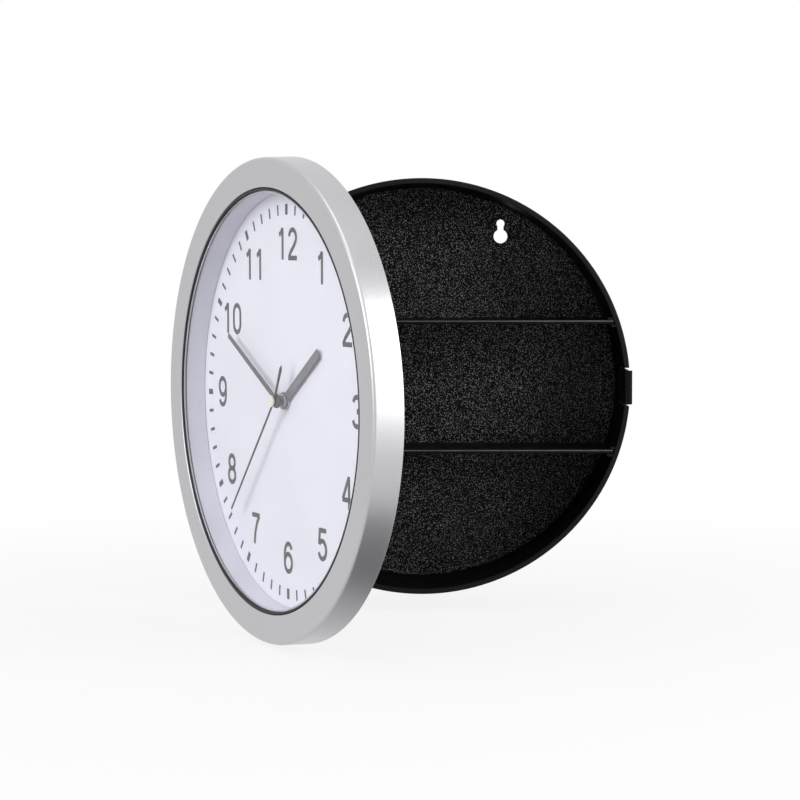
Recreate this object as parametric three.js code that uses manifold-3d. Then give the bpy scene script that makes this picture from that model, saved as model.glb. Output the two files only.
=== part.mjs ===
// A round wall clock whose face swings open on a side hinge, showing a black box with
// two shelves behind it. Millimetres, +Z up. The wall is the plane y = 0 and the front
// looks along -Y. A height is a distance towards the front: from the wall on the box, and
// from the plane of the box's rim on the lid. The lid is drawn shut and then swung open.

import * as THREE from "three";
import { mergeVertices } from "three/addons/utils/BufferGeometryUtils.js";
import Module from "manifold-3d";

const wasm = await Module();
wasm.setup();

// Clearances
const fitGap = 0.3;
const shelfGap = 0.2;
const handGap = 0.4;

// How far a cutting shape runs past what it cuts
const past = 1;

// Smoothness
const rimSegments = 52;
const hubSegments = 24;
const smallSegments = 12;
const screwSegments = 8;
const roundSteps = 2;

// Box
const boxRadius = 119;
const boxDepth = 52;
const boxWall = 3;
const boxFloor = 3;
const boxDraft = 1.5;
const boxBackRound = 3;
const rimRound = 0.6;

// Keyholes in the floor, for two wall screws
const keyholeAngle = 28.5;
const keyholeInset = 21.3;
const keyholeRadius = 4.1;
const keyholeNeck = 3.6;
const keyholeSeatRadius = 2.4;
const keyholeRise = 7.5;

// Shelves and the grooves that hold them
const shelfThickness = 2;
const shelfSetback = 0.5;
const movementRoom = 8;
const grooveRib = 1.5;
const grooveReach = 3;

// Latch tongue in the right-hand wall, free at its front end
const tongueHeight = 19.3;
const tongueThickness = 2.5;
const tongueSlit = 2.4;
const tongueInset = 0.7;
const tongueRoot = 30;
const tongueNeck = 1.4;
const tongueNeckLength = 4;
const hookReach = 1.5;
const hookLength = 2.8;
const tongueFlexRoom = 2;

// Hinge on the left-hand side
const restOpening = 61.7;
const knuckleRadius = 3.2;
const hingeSetback = 5;
const pinRadius = 1.2;
const pinHeadRadius = 2;
const pinHead = 1;
const boxKnuckle = 8;
const lidKnuckle = 9.4;
const lugLength = 9;

// Lid, from its rear cover to the front of its bezel
const coverLift = 0.4;
const coverThickness = 1.1;
const dialThickness = 0.4;
const nutThickness = 1;
const glassClearance = 1.4;
const glassThickness = 2;
const glassSetback = 1.1;
const glassChamfer = 0.8;
const rimOverhang = 5.5;
const skirtWall = 3.1;
const skirtDraft = 0.6;
const faceWidth = 15.6;
const faceWall = 2.5;
const faceDip = 0.3;
const edgeRound = 1.6;
const flangeWall = 2;
const flangeReach = 6;

// Seal, reflector ring and dial
const gasketWidth = 1.2;
const gasketLip = 0.8;
const gasketLipThickness = 1.3;
const gasketProud = 0.6;
const reflectorWall = 1.6;
const reflectorSlope = 0.5;
const reflectorFoot = 1.2;
const dialLap = 1.8;
const dialSeatWall = 1.5;
const dialSeatHeight = 1.7;

// Cover screws
const screwCount = 4;
const screwHeadRadius = 2.3;
const screwHead = 1.4;
const screwRadius = 1;
const screwLength = 9;
const screwBossWall = 1.9;

// Hands, for ten minutes to two
const hourAngle = 57;
const minuteAngle = 297;
const secondAngle = 222;
const hourLength = 49.5;
const hourWidth = 5.3;
const handRound = 0.7;
const hourCollarRadius = 4.5;
const hourCollar = 1.3;
const minuteLength = 71;
const minuteWidth = 3.2;
const minuteTipWidth = 2.7;
const minuteCollarRadius = 3.7;
const minuteCollar = 1.6;
const minuteLift = 2.5;
const secondLength = 84;
const secondWidth = 1.2;
const secondTipWidth = 0.8;
const tailLength = 21.5;
const tailWidth = 2;
const tailBend = 16;
const bladeThickness = 0.5;
const needleThickness = 0.3;
const secondDiscRadius = 2.5;
const capRadius = 3;
const capHeight = 1.8;
const capRound = 0.4;

// Movement, sized round the battery it takes
const batteryLength = 50.5;
const batteryRadius = 7.25;
const nubRadius = 2.75;
const nubLength = 1;
const batteryProud = 0.6;
const contactThickness = 0.4;
const contactSize = 9;
const movementWall = 1.75;
const movementRound = 4;
const frontPlate = 1.2;
const bayFloor = 0.8;
const bayPartition = 1.2;
const washerThickness = 1;
const washerRadius = 9;
const bushRadius = 3.2;
const bushBore = 2.6;
const bushFlangeRadius = 4.8;
const bushFlange = 0.9;
const nutAcrossFlats = 8;
const nutSides = 6;
const hourTubeWall = 0.5;
const minuteTubeWall = 0.5;
const wheelThickness = 1;
const pinionThickness = 1.3;
const pivotLength = 1.2;
const pivotPostRadius = 2.2;
const arborRadius = 0.5;
const arborPostRadius = 1.5;
const pivotSocket = 0.8;

// Tooth form, in degrees, in modules and in millimetres of play
const pressureAngle = 30;
const addendum = 0.8;
const dedendum = 1.05;
const toothPlay = 0.1;

// Teeth: a pinion's leaves drive, or are driven by, the wheel named with them
const leaves = 6;
const rotorWheelTeeth = 36;
const secondWheelTeeth = 30;
const thirdWheelTeeth = 45;
const minuteWheelTeeth = 48;
const motionWheelTeeth = 18;
const hourWheelTeeth = 24;

// Bearings of the arbors round the hands, clockwise from twelve
const motionBearing = 45;
const thirdBearing = -30;
const fifthBearing = -95;
const rotorBearing = -40;

// Motor and circuit. The magnet's radius is a share of the distance between the rotor and
// the wheel that it drives.
const magnetShare = 0.34;
const magnetLength = 3;
const magnetGap = 0.5;
const statorThickness = 1;
const statorArm = 3;
const statorRing = 1.1;
const coilCore = 2;
const coilRadius = 2.1;
const cheekRadius = 2.5;
const cheekThickness = 0.6;
const boardThickness = 1;
const boardWidth = 10;
const boardLength = 22;
const chipWidth = 4;
const chipThickness = 0.8;
const knobRadius = 6.5;
const knobHeight = 3;
const knobFlutes = 12;
const knobFluteRadius = 0.9;
const knobBottom = 0.8;

// Radii that follow from those sizes, outermost first
const skirtInner = boxRadius + rimOverhang;
const lidRadius = skirtInner + skirtWall;
const faceRadius = lidRadius - skirtDraft;
const openingRadius = faceRadius - faceWidth;
const gasketOuter = openingRadius - fitGap;
const gasketInner = gasketOuter - gasketWidth;
const gasketLipInner = gasketInner - gasketLip;
const glassRadius = gasketInner - fitGap;
const reflectorOuter = gasketOuter - fitGap;
const reflectorTopInner = reflectorOuter - reflectorWall;
const dialRadius = reflectorOuter + dialLap;
const coverRadius = skirtInner - fitGap;
const screwCircle = boxRadius + fitGap + screwHeadRadius;
const screwHole = screwRadius + fitGap;
const secondArborRadius = bushBore - fitGap - hourTubeWall - fitGap - minuteTubeWall - fitGap;

// Heights on the lid, from the back of the movement to the front of the bezel
const coverTop = coverLift + coverThickness;
const dialBack = coverTop + fitGap;
const dialFront = dialBack + dialThickness;
const reflectorBack = dialFront + fitGap;
const nutTop = reflectorBack + nutThickness;
const hourBack = nutTop + fitGap;
const hourTop = hourBack + hourCollar;
const minuteBack = hourTop + minuteLift;
const minuteTop = minuteBack + minuteCollar;
const secondBack = minuteTop + handGap;
const capBack = secondBack + needleThickness + fitGap;
const capTop = capBack + capHeight;
const glassBack = capTop + glassClearance;
const glassFront = glassBack + glassThickness;
const lidDepth = glassFront + glassSetback;
const gasketBack = glassBack - fitGap - gasketLipThickness;
const reflectorTop = gasketBack - fitGap;
const washerBack = coverLift - fitGap - washerThickness;
const movementFront = washerBack - fitGap;
const caseFront = movementFront - frontPlate - fitGap;
const bushBack = caseFront - bushFlange;
const batteryHeight = caseFront - bayFloor - fitGap - batteryRadius;
const movementBack = batteryHeight - batteryRadius + batteryProud;
const hourWheelFront = bushBack - fitGap;
const motionWheelFront = hourWheelFront - wheelThickness - fitGap;
const minuteWheelFront = motionWheelFront - pinionThickness;
const thirdWheelFront = minuteWheelFront - wheelThickness - fitGap;
const secondWheelFront = thirdWheelFront - pinionThickness;
const fifthWheelFront = secondWheelFront - pinionThickness;
const magnetFront = fifthWheelFront - pinionThickness;
const postTop = secondWheelFront - wheelThickness - fitGap;
const chamberFloor = movementBack + movementWall;
const arborFront = caseFront + pivotSocket;
const statorFront = magnetFront - (magnetLength - statorThickness) / 2;
const knobFront = movementBack - fitGap;

// Places that follow
const bayHalfLength = batteryLength / 2 + 2 * fitGap + contactThickness;
const movementHalf = bayHalfLength + movementWall;
const batteryDrop = movementHalf - movementWall - fitGap - batteryRadius;
const bayTop = -batteryDrop + batteryRadius + fitGap;
const shelfOffset = movementHalf + movementRoom + shelfThickness / 2;
const hingeX = -(boxRadius + fitGap + knuckleRadius);
const hingeHeight = boxDepth - hingeSetback;
const tongueOuter = boxRadius - tongueInset;
const tongueInner = tongueOuter - tongueThickness;
const hookTip = tongueOuter + hookReach;
const hookBack = boxDepth + coverTop + fitGap;
const tongueFront = hookBack + hookLength;
const knucklePitch = boxKnuckle + lidKnuckle + 2 * fitGap;

// Gearing. The wheels on the hands' axis are as large as the room beside the battery lets
// them be. A tooth's size, its module, is the pitch circle's diameter over the teeth.
const wheelRoom = -(bayTop + bayPartition) - 2 * fitGap;
const hourModule = moduleFor(hourWheelTeeth, wheelRoom);
const motionCentres = centreDistance(hourWheelTeeth, hourModule);
const motionModule = (2 * motionCentres) / (motionWheelTeeth + leaves);
const minuteModule = moduleFor(minuteWheelTeeth, wheelRoom);
const thirdCentres = centreDistance(minuteWheelTeeth, minuteModule);
const thirdModule = (2 * thirdCentres) / (thirdWheelTeeth + leaves);
const secondModule = moduleFor(secondWheelTeeth, wheelRoom);
const fifthCentres = centreDistance(secondWheelTeeth, secondModule);
const rotorModule = moduleFor(rotorWheelTeeth, fifthCentres - pivotPostRadius - 2 * fitGap);
const rotorCentres = centreDistance(rotorWheelTeeth, rotorModule);
const motionArborRadius = motionCentres - wheelRoom - 2 * fitGap;
const magnetRadius = magnetShare * rotorCentres;

const motionPlace = placeBeside([0, 0, 0], motionCentres, motionBearing);
const thirdPlace = placeBeside([0, 0, 0], thirdCentres, thirdBearing);
const fifthPlace = placeBeside([0, 0, 0], fifthCentres, fifthBearing);
const rotorPlace = placeBeside(fifthPlace, rotorCentres, rotorBearing);

// The stator reaches from the case's side wall to the third wheel's post.
const statorLeft = -(movementHalf - movementWall - 2 * fitGap);
const statorRight = thirdPlace[0] - arborPostRadius - 2 * fitGap;
const statorMiddle = (statorLeft + statorRight) / 2;

// How far each wheel is turned at rest for its teeth to stand in its neighbour's gaps.
const minuteTurn = 0;
const thirdTurn = meshing(minuteWheelTeeth, minuteTurn, thirdBearing, leaves);
const secondTurn = meshing(thirdWheelTeeth, thirdTurn, thirdBearing + 180, leaves);
const fifthTurn = meshing(secondWheelTeeth, secondTurn, fifthBearing, leaves);
const rotorTurn = meshing(rotorWheelTeeth, fifthTurn, rotorBearing, leaves);
const motionTurn = meshing(leaves, minuteTurn, motionBearing, motionWheelTeeth);
const hourTurn = meshing(leaves, motionTurn, motionBearing + 180, hourWheelTeeth);

// The module that gives a wheel its outer radius.
function moduleFor(teeth, radius) {
  return radius / (teeth / 2 + addendum);
}

// The distance between a wheel and the pinion in mesh with it.
function centreDistance(teeth, module) {
  return ((teeth + leaves) * module) / 2;
}

// A place at a distance and a bearing from another, seen from the front.
function placeBeside([x, y, z], distance, bearing) {
  const angle = THREE.MathUtils.degToRad(bearing);
  return [x + distance * Math.sin(angle), y, z + distance * Math.cos(angle)];
}

// The turn of a wheel whose gap meets the tooth, or share of a tooth, that a neighbour
// turned this far has on the line between them. The bearing is the wheel's, seen from there.
function meshing(teeth, turn, bearing, otherTeeth) {
  const share = (teeth * (bearing - turn)) / 360;
  return bearing + 180 - (360 / otherTeeth) * (0.5 - share);
}

// Turns a closed three.js geometry into a solid that can be joined and cut.
function solid(geometry) {
  const bare = new THREE.BufferGeometry();
  bare.setAttribute("position", geometry.getAttribute("position"));
  bare.setIndex(geometry.getIndex());
  const merged = mergeVertices(bare, 1e-4);
  const corners = merged.getIndex().array;
  const faces = [];
  for (let i = 0; i < corners.length; i += 3) {
    const [a, b, c] = corners.subarray(i, i + 3);
    if (a !== b && b !== c && c !== a) {
      faces.push(a, b, c);
    }
  }
  const vertProperties = Float32Array.from(merged.getAttribute("position").array);
  if (enclosedVolume(vertProperties, faces) < 0) {
    faces.reverse();
  }
  const triVerts = Uint32Array.from(faces);
  return new wasm.Manifold(new wasm.Mesh({ numProp: 3, vertProperties, triVerts }));
}

// Six times the volume inside the faces, negative when they look inwards.
function enclosedVolume(vertices, faces) {
  const point = (index) => new THREE.Vector3().fromArray(vertices, 3 * index);
  let total = 0;
  for (let i = 0; i < faces.length; i += 3) {
    const [a, b, c] = [point(faces[i]), point(faces[i + 1]), point(faces[i + 2])];
    total += a.dot(b.cross(c));
  }
  return total;
}

// A closed outline through corners [x, y], or [x, y, cut] where the corner is rounded
// from that far before it to that far after it.
function outline(corners) {
  const shape = new THREE.Shape();
  const at = (index) => new THREE.Vector2(...corners.at(index % corners.length).slice(0, 2));
  corners.forEach(([x, y, cut = 0], index) => {
    const here = new THREE.Vector2(x, y);
    const start = at(index - 1).sub(here).setLength(cut).add(here);
    const end = at(index + 1).sub(here).setLength(cut).add(here);
    if (index === 0) {
      shape.moveTo(start.x, start.y);
    } else {
      shape.lineTo(start.x, start.y);
    }
    if (cut > 0) {
      shape.quadraticCurveTo(x, y, end.x, end.y);
    }
  });
  shape.closePath();
  return shape;
}

// Revolves corners [radius, height] about the axis that runs from back to front.
function revolve(corners, segments) {
  const profile = outline(corners.map(([radius, height, cut]) => [radius, -height, cut]));
  return solid(new THREE.LatheGeometry(profile.getPoints(roundSteps), segments));
}

// A round bar from one height to another, centred at x and z.
function disc(radius, low, high, segments = hubSegments, x = 0, z = 0) {
  const corners = [[0, low], [radius, low], [radius, high], [0, high]];
  return revolve(corners, segments).translate([x, 0, z]);
}

// A shape seen from the front, in x and z, as thick as the span from low to high.
function plate(shape, low, high) {
  const settings = { depth: high - low, bevelEnabled: false, curveSegments: smallSegments / 2 };
  const geometry = new THREE.ExtrudeGeometry(shape, settings);
  geometry.rotateX(Math.PI / 2);
  geometry.translate(0, -low, 0);
  return solid(geometry);
}

// A shape seen from above, with corners [x, height], between two levels of z.
function slab(corners, bottom, top) {
  const shape = outline(corners.map(([x, height, cut]) => [x, -height, cut]));
  const settings = { depth: top - bottom, bevelEnabled: false, curveSegments: roundSteps };
  const geometry = new THREE.ExtrudeGeometry(shape, settings);
  geometry.translate(0, 0, bottom);
  return solid(geometry);
}

// A block between two corners [x, height, z].
function block([x0, low, z0], [x1, high, z1]) {
  return slab([[x0, low], [x1, low], [x1, high], [x0, high]], z0, z1);
}

// A round bar along z, centred at x and height.
function post(radius, x, height, bottom, top, segments = smallSegments) {
  const geometry = new THREE.CylinderGeometry(radius, radius, top - bottom, segments);
  geometry.rotateX(Math.PI / 2);
  geometry.translate(x, -height, (bottom + top) / 2);
  return solid(geometry);
}

function rectangle(halfWidth, bottom, top, cut = 0) {
  const corners = [
    [-halfWidth, bottom, cut],
    [halfWidth, bottom, cut],
    [halfWidth, top, cut],
    [-halfWidth, top, cut],
  ];
  return outline(corners);
}

// Half the width of a circle at a distance from its centre.
function halfChord(radius, distance) {
  return Math.sqrt(radius ** 2 - distance ** 2);
}

function material(color, roughness, metalness = 0) {
  return new THREE.MeshStandardMaterial({ color, roughness, metalness });
}

const blackPlastic = material(0x1d1d1f, 0.6);
const silverPlastic = material(0xc3c3c7, 0.35, 0.3);
const greyPlastic = material(0xbfbfca, 0.5);
const rubber = material(0x111113, 0.8);
const glass = material(0xf4f7fa, 0.03);
const dialWhite = material(0xe8e7f2, 0.6);
const handGrey = material(0x6d6b70, 0.4, 0.5);
const needleBlack = material(0x1a171b, 0.5);
const capCream = material(0xe9e4d2, 0.5);
const brass = material(0xb99a52, 0.3, 1);
const steel = material(0xb9bbc0, 0.3, 1);
const whiteGear = material(0xf0efe8, 0.45);
const batterySkin = material(0x2d4f86, 0.4);
const magnetGrey = material(0x4c4c50, 0.4, 0.8);
const copper = material(0xa8623a, 0.35, 0.9);
const boardGreen = material(0x2c5a3c, 0.6);

// A named mesh holding a solid.
function piece(name, body, finish) {
  const mesh = body.getMesh();
  const geometry = new THREE.BufferGeometry();
  geometry.setAttribute("position", new THREE.BufferAttribute(mesh.vertProperties, 3));
  geometry.setIndex(new THREE.BufferAttribute(mesh.triVerts, 1));
  geometry.computeVertexNormals();
  const result = new THREE.Mesh(geometry, finish);
  result.name = name;
  return result;
}

// The box is a shallow pan with a little draft: the outside, less the hollow.
function boxOutside() {
  const back = boxRadius - boxDraft;
  const corners = [[0, 0], [back, 0, boxBackRound], [boxRadius, boxDepth, rimRound], [0, boxDepth]];
  return revolve(corners, rimSegments);
}

function boxHollow() {
  const back = boxRadius - boxDraft - boxWall;
  const beyond = boxDepth + past;
  const mouth = boxRadius - boxWall + (boxDraft * past) / boxDepth;
  return revolve([[0, boxFloor], [back, boxFloor, boxBackRound], [mouth, beyond], [0, beyond]], rimSegments);
}

// A round hole for the screw's head, a neck for its shank and a seat at the top.
function keyhole(side) {
  const angle = THREE.MathUtils.degToRad(keyholeAngle);
  const reach = boxRadius - keyholeInset;
  const x = side * reach * Math.sin(angle);
  const z = reach * Math.cos(angle);
  const neck = plate(rectangle(keyholeNeck / 2, 0, keyholeRise), -past, boxFloor + past);
  const head = disc(keyholeRadius, -past, boxFloor + past, smallSegments);
  const seat = disc(keyholeSeatRadius, -past, boxFloor + past, smallSegments, 0, keyholeRise);
  return head.add(neck).add(seat).translate([x, 0, z]);
}

// Ribs above and below each end of a shelf, from the floor up to the shelf's front edge.
function shelfGrooves() {
  const ribs = [];
  for (const side of [-1, 1]) {
    for (const level of [-shelfOffset, shelfOffset]) {
      for (const face of [-1, 1]) {
        const near = level + face * (shelfThickness / 2 + shelfGap);
        const far = near + face * grooveRib;
        const wall = halfChord(boxRadius - boxWall, far);
        const span = [side * (wall - grooveReach), side * (wall + boxWall)].sort((a, b) => a - b);
        const levels = [near, far].sort((a, b) => a - b);
        const low = [span[0], boxFloor / 2, levels[0]];
        const high = [span[1], boxDepth - shelfSetback, levels[1]];
        ribs.push(block(low, high));
      }
    }
  }
  return ribs.reduce((all, rib) => all.add(rib));
}

// The middle of each knuckle of the box, and of each knuckle of the lid between them.
const boxKnuckleLevels = [-knucklePitch, 0, knucklePitch];
const lidKnuckleLevels = [-knucklePitch / 2, knucklePitch / 2];

// A knuckle of the box, on a lug that runs back down the wall.
function boxHingeKnuckle(level) {
  const bottom = level - boxKnuckle / 2;
  const top = level + boxKnuckle / 2;
  const root = -boxRadius + boxWall / 2;
  const lug = slab([
    [hingeX, hingeHeight - knuckleRadius],
    [root, hingeHeight - lugLength],
    [root, hingeHeight + knuckleRadius / 2],
    [hingeX, hingeHeight + knuckleRadius],
  ], bottom, top);
  return post(knuckleRadius, hingeX, hingeHeight, bottom, top).add(lug);
}

function buildBox() {
  const outside = boxOutside();
  const slitReach = tongueHeight / 2 + tongueSlit;
  const window = block(
    [tongueInner - boxWall, tongueRoot - fitGap, -slitReach],
    [boxRadius + boxWall, boxDepth + past, slitReach],
  );
  const ribs = shelfGrooves().intersect(outside);
  const knuckles = boxKnuckleLevels.map(boxHingeKnuckle).reduce((all, one) => all.add(one));
  const hingeEnd = knucklePitch + boxKnuckle;
  return outside
    .add(knuckles)
    .subtract(boxHollow())
    .add(ribs)
    .subtract(window)
    .subtract(keyhole(-1))
    .subtract(keyhole(1))
    .subtract(post(pinRadius + fitGap, hingeX, hingeHeight, -hingeEnd, hingeEnd));
}

// A tongue that bends at a thin neck, with a hook on its free end.
function buildTongue() {
  const neckEnd = tongueRoot + tongueNeckLength;
  const neckFace = tongueOuter - tongueThickness + tongueNeck;
  return slab([
    [tongueInner, tongueRoot],
    [neckFace, tongueRoot],
    [neckFace, neckEnd],
    [tongueOuter, neckEnd + tongueThickness],
    [tongueOuter, hookBack],
    [hookTip, hookBack + fitGap],
    [hookTip, hookBack + hookLength / 2],
    [tongueOuter, tongueFront],
    [tongueInner, tongueFront],
  ], -tongueHeight / 2, tongueHeight / 2);
}

// A shelf's ends follow the draft of the wall beside them.
function buildShelf(level) {
  const outerFace = Math.abs(level) + shelfThickness / 2;
  const front = boxDepth - shelfSetback;
  const slope = boxDraft / boxDepth;
  const reach = (height) => {
    const wall = boxRadius - boxWall - slope * (boxDepth - height);
    return halfChord(wall - fitGap, outerFace);
  };
  const back = boxFloor + shelfGap;
  const turn = boxFloor + boxBackRound;
  return slab([
    [-reach(turn) + boxBackRound, back],
    [reach(turn) - boxBackRound, back],
    [reach(turn), turn],
    [reach(front), front],
    [-reach(front), front],
    [-reach(turn), turn],
  ], level - shelfThickness / 2, level + shelfThickness / 2);
}

function buildHingePin() {
  const end = knucklePitch + boxKnuckle / 2;
  const shank = post(pinRadius, hingeX, hingeHeight, -end - pinHead, end + pinHead);
  const head = post(pinHeadRadius, hingeX, hingeHeight, end + fitGap, end + fitGap + pinHead);
  return shank.add(head);
}

// Bezel: a skirt, a face that dips towards the glass, and a flange round the opening.
function buildBezel() {
  const under = lidDepth - faceWall;
  const dipped = lidDepth - faceDip;
  const flangeOuter = openingRadius + flangeWall;
  const ring = revolve([
    [lidRadius, 0],
    [faceRadius, lidDepth, edgeRound],
    [openingRadius, dipped, edgeRound / 2],
    [openingRadius, lidDepth - flangeReach],
    [flangeOuter, lidDepth - flangeReach],
    [flangeOuter, under],
    [skirtInner, under],
    [skirtInner, 0],
  ], rimSegments);
  const bossRadius = screwHole + screwBossWall;
  const bosses = screwPlaces().map(([x, z]) => {
    const boss = disc(bossRadius, dialBack, under + faceWall / 2, smallSegments, x, z);
    const pilot = disc(screwHole, dialBack - past, screwLength + past, screwSegments, x, z);
    return boss.subtract(pilot);
  });
  return bosses.reduce((all, boss) => all.add(boss), ring);
}

// The screws stand on a circle, outside the box's rim and inside the skirt.
function screwPlaces() {
  return Array.from({ length: screwCount }, (_, index) => {
    const angle = (2 * Math.PI * (index + 0.5)) / screwCount;
    return [screwCircle * Math.cos(angle), screwCircle * Math.sin(angle)];
  });
}

function buildGasket() {
  return revolve([
    [gasketOuter, gasketBack],
    [gasketOuter, glassFront + gasketProud],
    [gasketInner, glassFront + gasketProud],
    [gasketInner, glassBack - fitGap],
    [gasketLipInner, glassBack - fitGap],
    [gasketLipInner, gasketBack],
  ], rimSegments);
}

function buildGlass() {
  return revolve([
    [0, glassBack],
    [glassRadius, glassBack],
    [glassRadius, glassFront - glassChamfer],
    [glassRadius - glassChamfer, glassFront],
    [0, glassFront],
  ], rimSegments);
}

// The pale ring between the glass and the dial, with a foot that holds the dial down.
function buildReflector() {
  const foot = reflectorBack + reflectorFoot;
  return revolve([
    [reflectorTopInner - reflectorSlope, reflectorBack],
    [dialRadius, reflectorBack],
    [dialRadius, foot],
    [reflectorOuter, foot],
    [reflectorOuter, reflectorTop],
    [reflectorTopInner, reflectorTop],
  ], rimSegments);
}

function buildDial() {
  const hole = disc(bushRadius + fitGap, dialBack - past, dialFront + past);
  return disc(dialRadius, dialBack, dialFront, rimSegments).subtract(hole);
}

// A knuckle of the lid, on an arm that drops from the back of the rear cover. The lid's
// own heights count from the rim, so the hinge lies below zero there.
function lidHingeKnuckle(level) {
  const bottom = level - lidKnuckle / 2;
  const top = level + lidKnuckle / 2;
  const outerSide = -halfChord(coverRadius, Math.abs(level) + lidKnuckle / 2);
  const innerSide = hingeX + knuckleRadius;
  const arm = slab([
    [outerSide, coverTop],
    [outerSide, -hingeSetback],
    [innerSide, -hingeSetback],
    [innerSide, coverTop],
  ], bottom, top);
  return post(knuckleRadius, hingeX, -hingeSetback, bottom, top).add(arm);
}

// Rear cover: a disc with a ring that centres the dial, and the lid's hinge knuckles.
function buildCover() {
  const seatInner = dialRadius + fitGap;
  const seatTop = coverTop + dialSeatHeight;
  const seat = revolve([
    [seatInner, coverLift],
    [seatInner + dialSeatWall, coverLift],
    [seatInner + dialSeatWall, seatTop],
    [seatInner, seatTop],
  ], rimSegments);
  const slotReach = tongueHeight / 2 + 2 * fitGap;
  const slot = block(
    [tongueInner - tongueFlexRoom, coverLift - past, -slotReach],
    [hookTip + 2 * fitGap, seatTop + past, slotReach],
  );
  const knuckles = lidKnuckleLevels.map(lidHingeKnuckle).reduce((all, one) => all.add(one));
  const pinHole = post(pinRadius + fitGap, hingeX, -hingeSetback, -knucklePitch, knucklePitch);
  const screwHoles = screwPlaces().map(([x, z]) => {
    return disc(screwHole, coverLift - past, coverTop + past, screwSegments, x, z);
  });
  const body = disc(coverRadius, coverLift, coverTop, rimSegments)
    .add(seat)
    .add(knuckles)
    .subtract(slot)
    .subtract(pinHole)
    .subtract(disc(bushRadius + fitGap, coverLift - past, coverTop + past));
  return screwHoles.reduce((rest, hole) => rest.subtract(hole), body);
}

function buildScrew([x, z]) {
  const seat = coverLift - fitGap;
  const screw = revolve([
    [0, seat - screwHead],
    [screwHeadRadius, seat - screwHead, screwHead / 2],
    [screwHeadRadius, seat],
    [screwRadius, seat],
    [screwRadius, screwLength - screwRadius],
    [0, screwLength],
  ], screwSegments);
  return screw.translate([x, 0, z]);
}

// Front plate of the movement, with a hole for the bush.
function buildMovementFront() {
  const shape = rectangle(movementHalf, -movementHalf, movementHalf, movementRound);
  const hole = disc(bushRadius + fitGap, caseFront, movementFront + past);
  const socketTop = arborFront + fitGap;
  const motionSocket = disc(motionArborRadius + fitGap, caseFront, socketTop, smallSegments);
  const body = plate(shape, caseFront + fitGap, movementFront)
    .subtract(hole)
    .subtract(motionSocket.translate(motionPlace));
  return [thirdPlace, fifthPlace, rotorPlace].reduce((rest, place) => {
    const socket = disc(arborRadius + fitGap, caseFront, socketTop, smallSegments);
    return rest.subtract(socket.translate(place));
  }, body);
}

// A post on the floor of the case, at a place, with a blind hole for an arbor's pivot.
function pivotPost(radius, arbor, top, place) {
  const hole = disc(arbor + fitGap, top - pivotLength - fitGap, top + past, smallSegments);
  return {
    post: disc(radius, chamberFloor - movementWall / 2, top, smallSegments).translate(place),
    hole: hole.translate(place),
  };
}

// Case of the movement: a wheel chamber open to the front, and a battery bay open to the back.
function buildMovementCase() {
  const inner = movementHalf - movementWall;
  const shape = rectangle(movementHalf, -movementHalf, movementHalf, movementRound);
  const chamberShape = rectangle(inner, bayTop + bayPartition, inner, movementRound / 2);
  const chamber = plate(chamberShape, chamberFloor, caseFront + past);
  const bayShape = rectangle(bayHalfLength, -inner, bayTop);
  const bay = plate(bayShape, movementBack - past, caseFront - bayFloor);
  const arborPostTop = fifthWheelFront - wheelThickness - fitGap;
  const posts = [
    pivotPost(pivotPostRadius, secondArborRadius, postTop, [0, 0, 0]),
    pivotPost(arborPostRadius, arborRadius, postTop, thirdPlace),
    pivotPost(arborPostRadius, arborRadius, arborPostTop, fifthPlace),
    pivotPost(arborPostRadius, arborRadius, magnetFront - magnetLength - fitGap, rotorPlace),
  ];
  const padTop = statorFront - statorThickness - fitGap;
  const pads = [-1, 1].map((side) => {
    const pad = disc(statorArm / 2, chamberFloor - movementWall / 2, padTop, smallSegments);
    return pad.translate(statorPad(side));
  });
  const arborHole = disc(motionArborRadius + fitGap, movementBack - past, chamberFloor + past, smallSegments);
  const body = plate(shape, movementBack, caseFront)
    .subtract(chamber)
    .subtract(bay)
    .subtract(arborHole.translate(motionPlace));
  const stands = posts.map((each) => each.post).concat(pads);
  const standing = stands.reduce((all, stand) => all.add(stand), body);
  return posts.reduce((rest, each) => rest.subtract(each.hole), standing);
}

function buildBush() {
  return revolve([
    [bushBore, bushBack],
    [bushFlangeRadius, bushBack],
    [bushFlangeRadius, caseFront],
    [bushRadius, caseFront],
    [bushRadius, nutTop],
    [bushBore, nutTop],
  ], hubSegments);
}

function buildNut() {
  const circumradius = nutAcrossFlats / 2 / Math.cos(Math.PI / nutSides);
  const hole = disc(bushRadius + fitGap, reflectorBack - past, nutTop + past);
  return disc(circumradius, reflectorBack, nutTop, nutSides).subtract(hole);
}

function buildWasher() {
  const high = coverLift - fitGap;
  const hole = disc(bushRadius + fitGap, washerBack - past, high + past);
  return disc(washerRadius, washerBack, high).subtract(hole);
}

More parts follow.
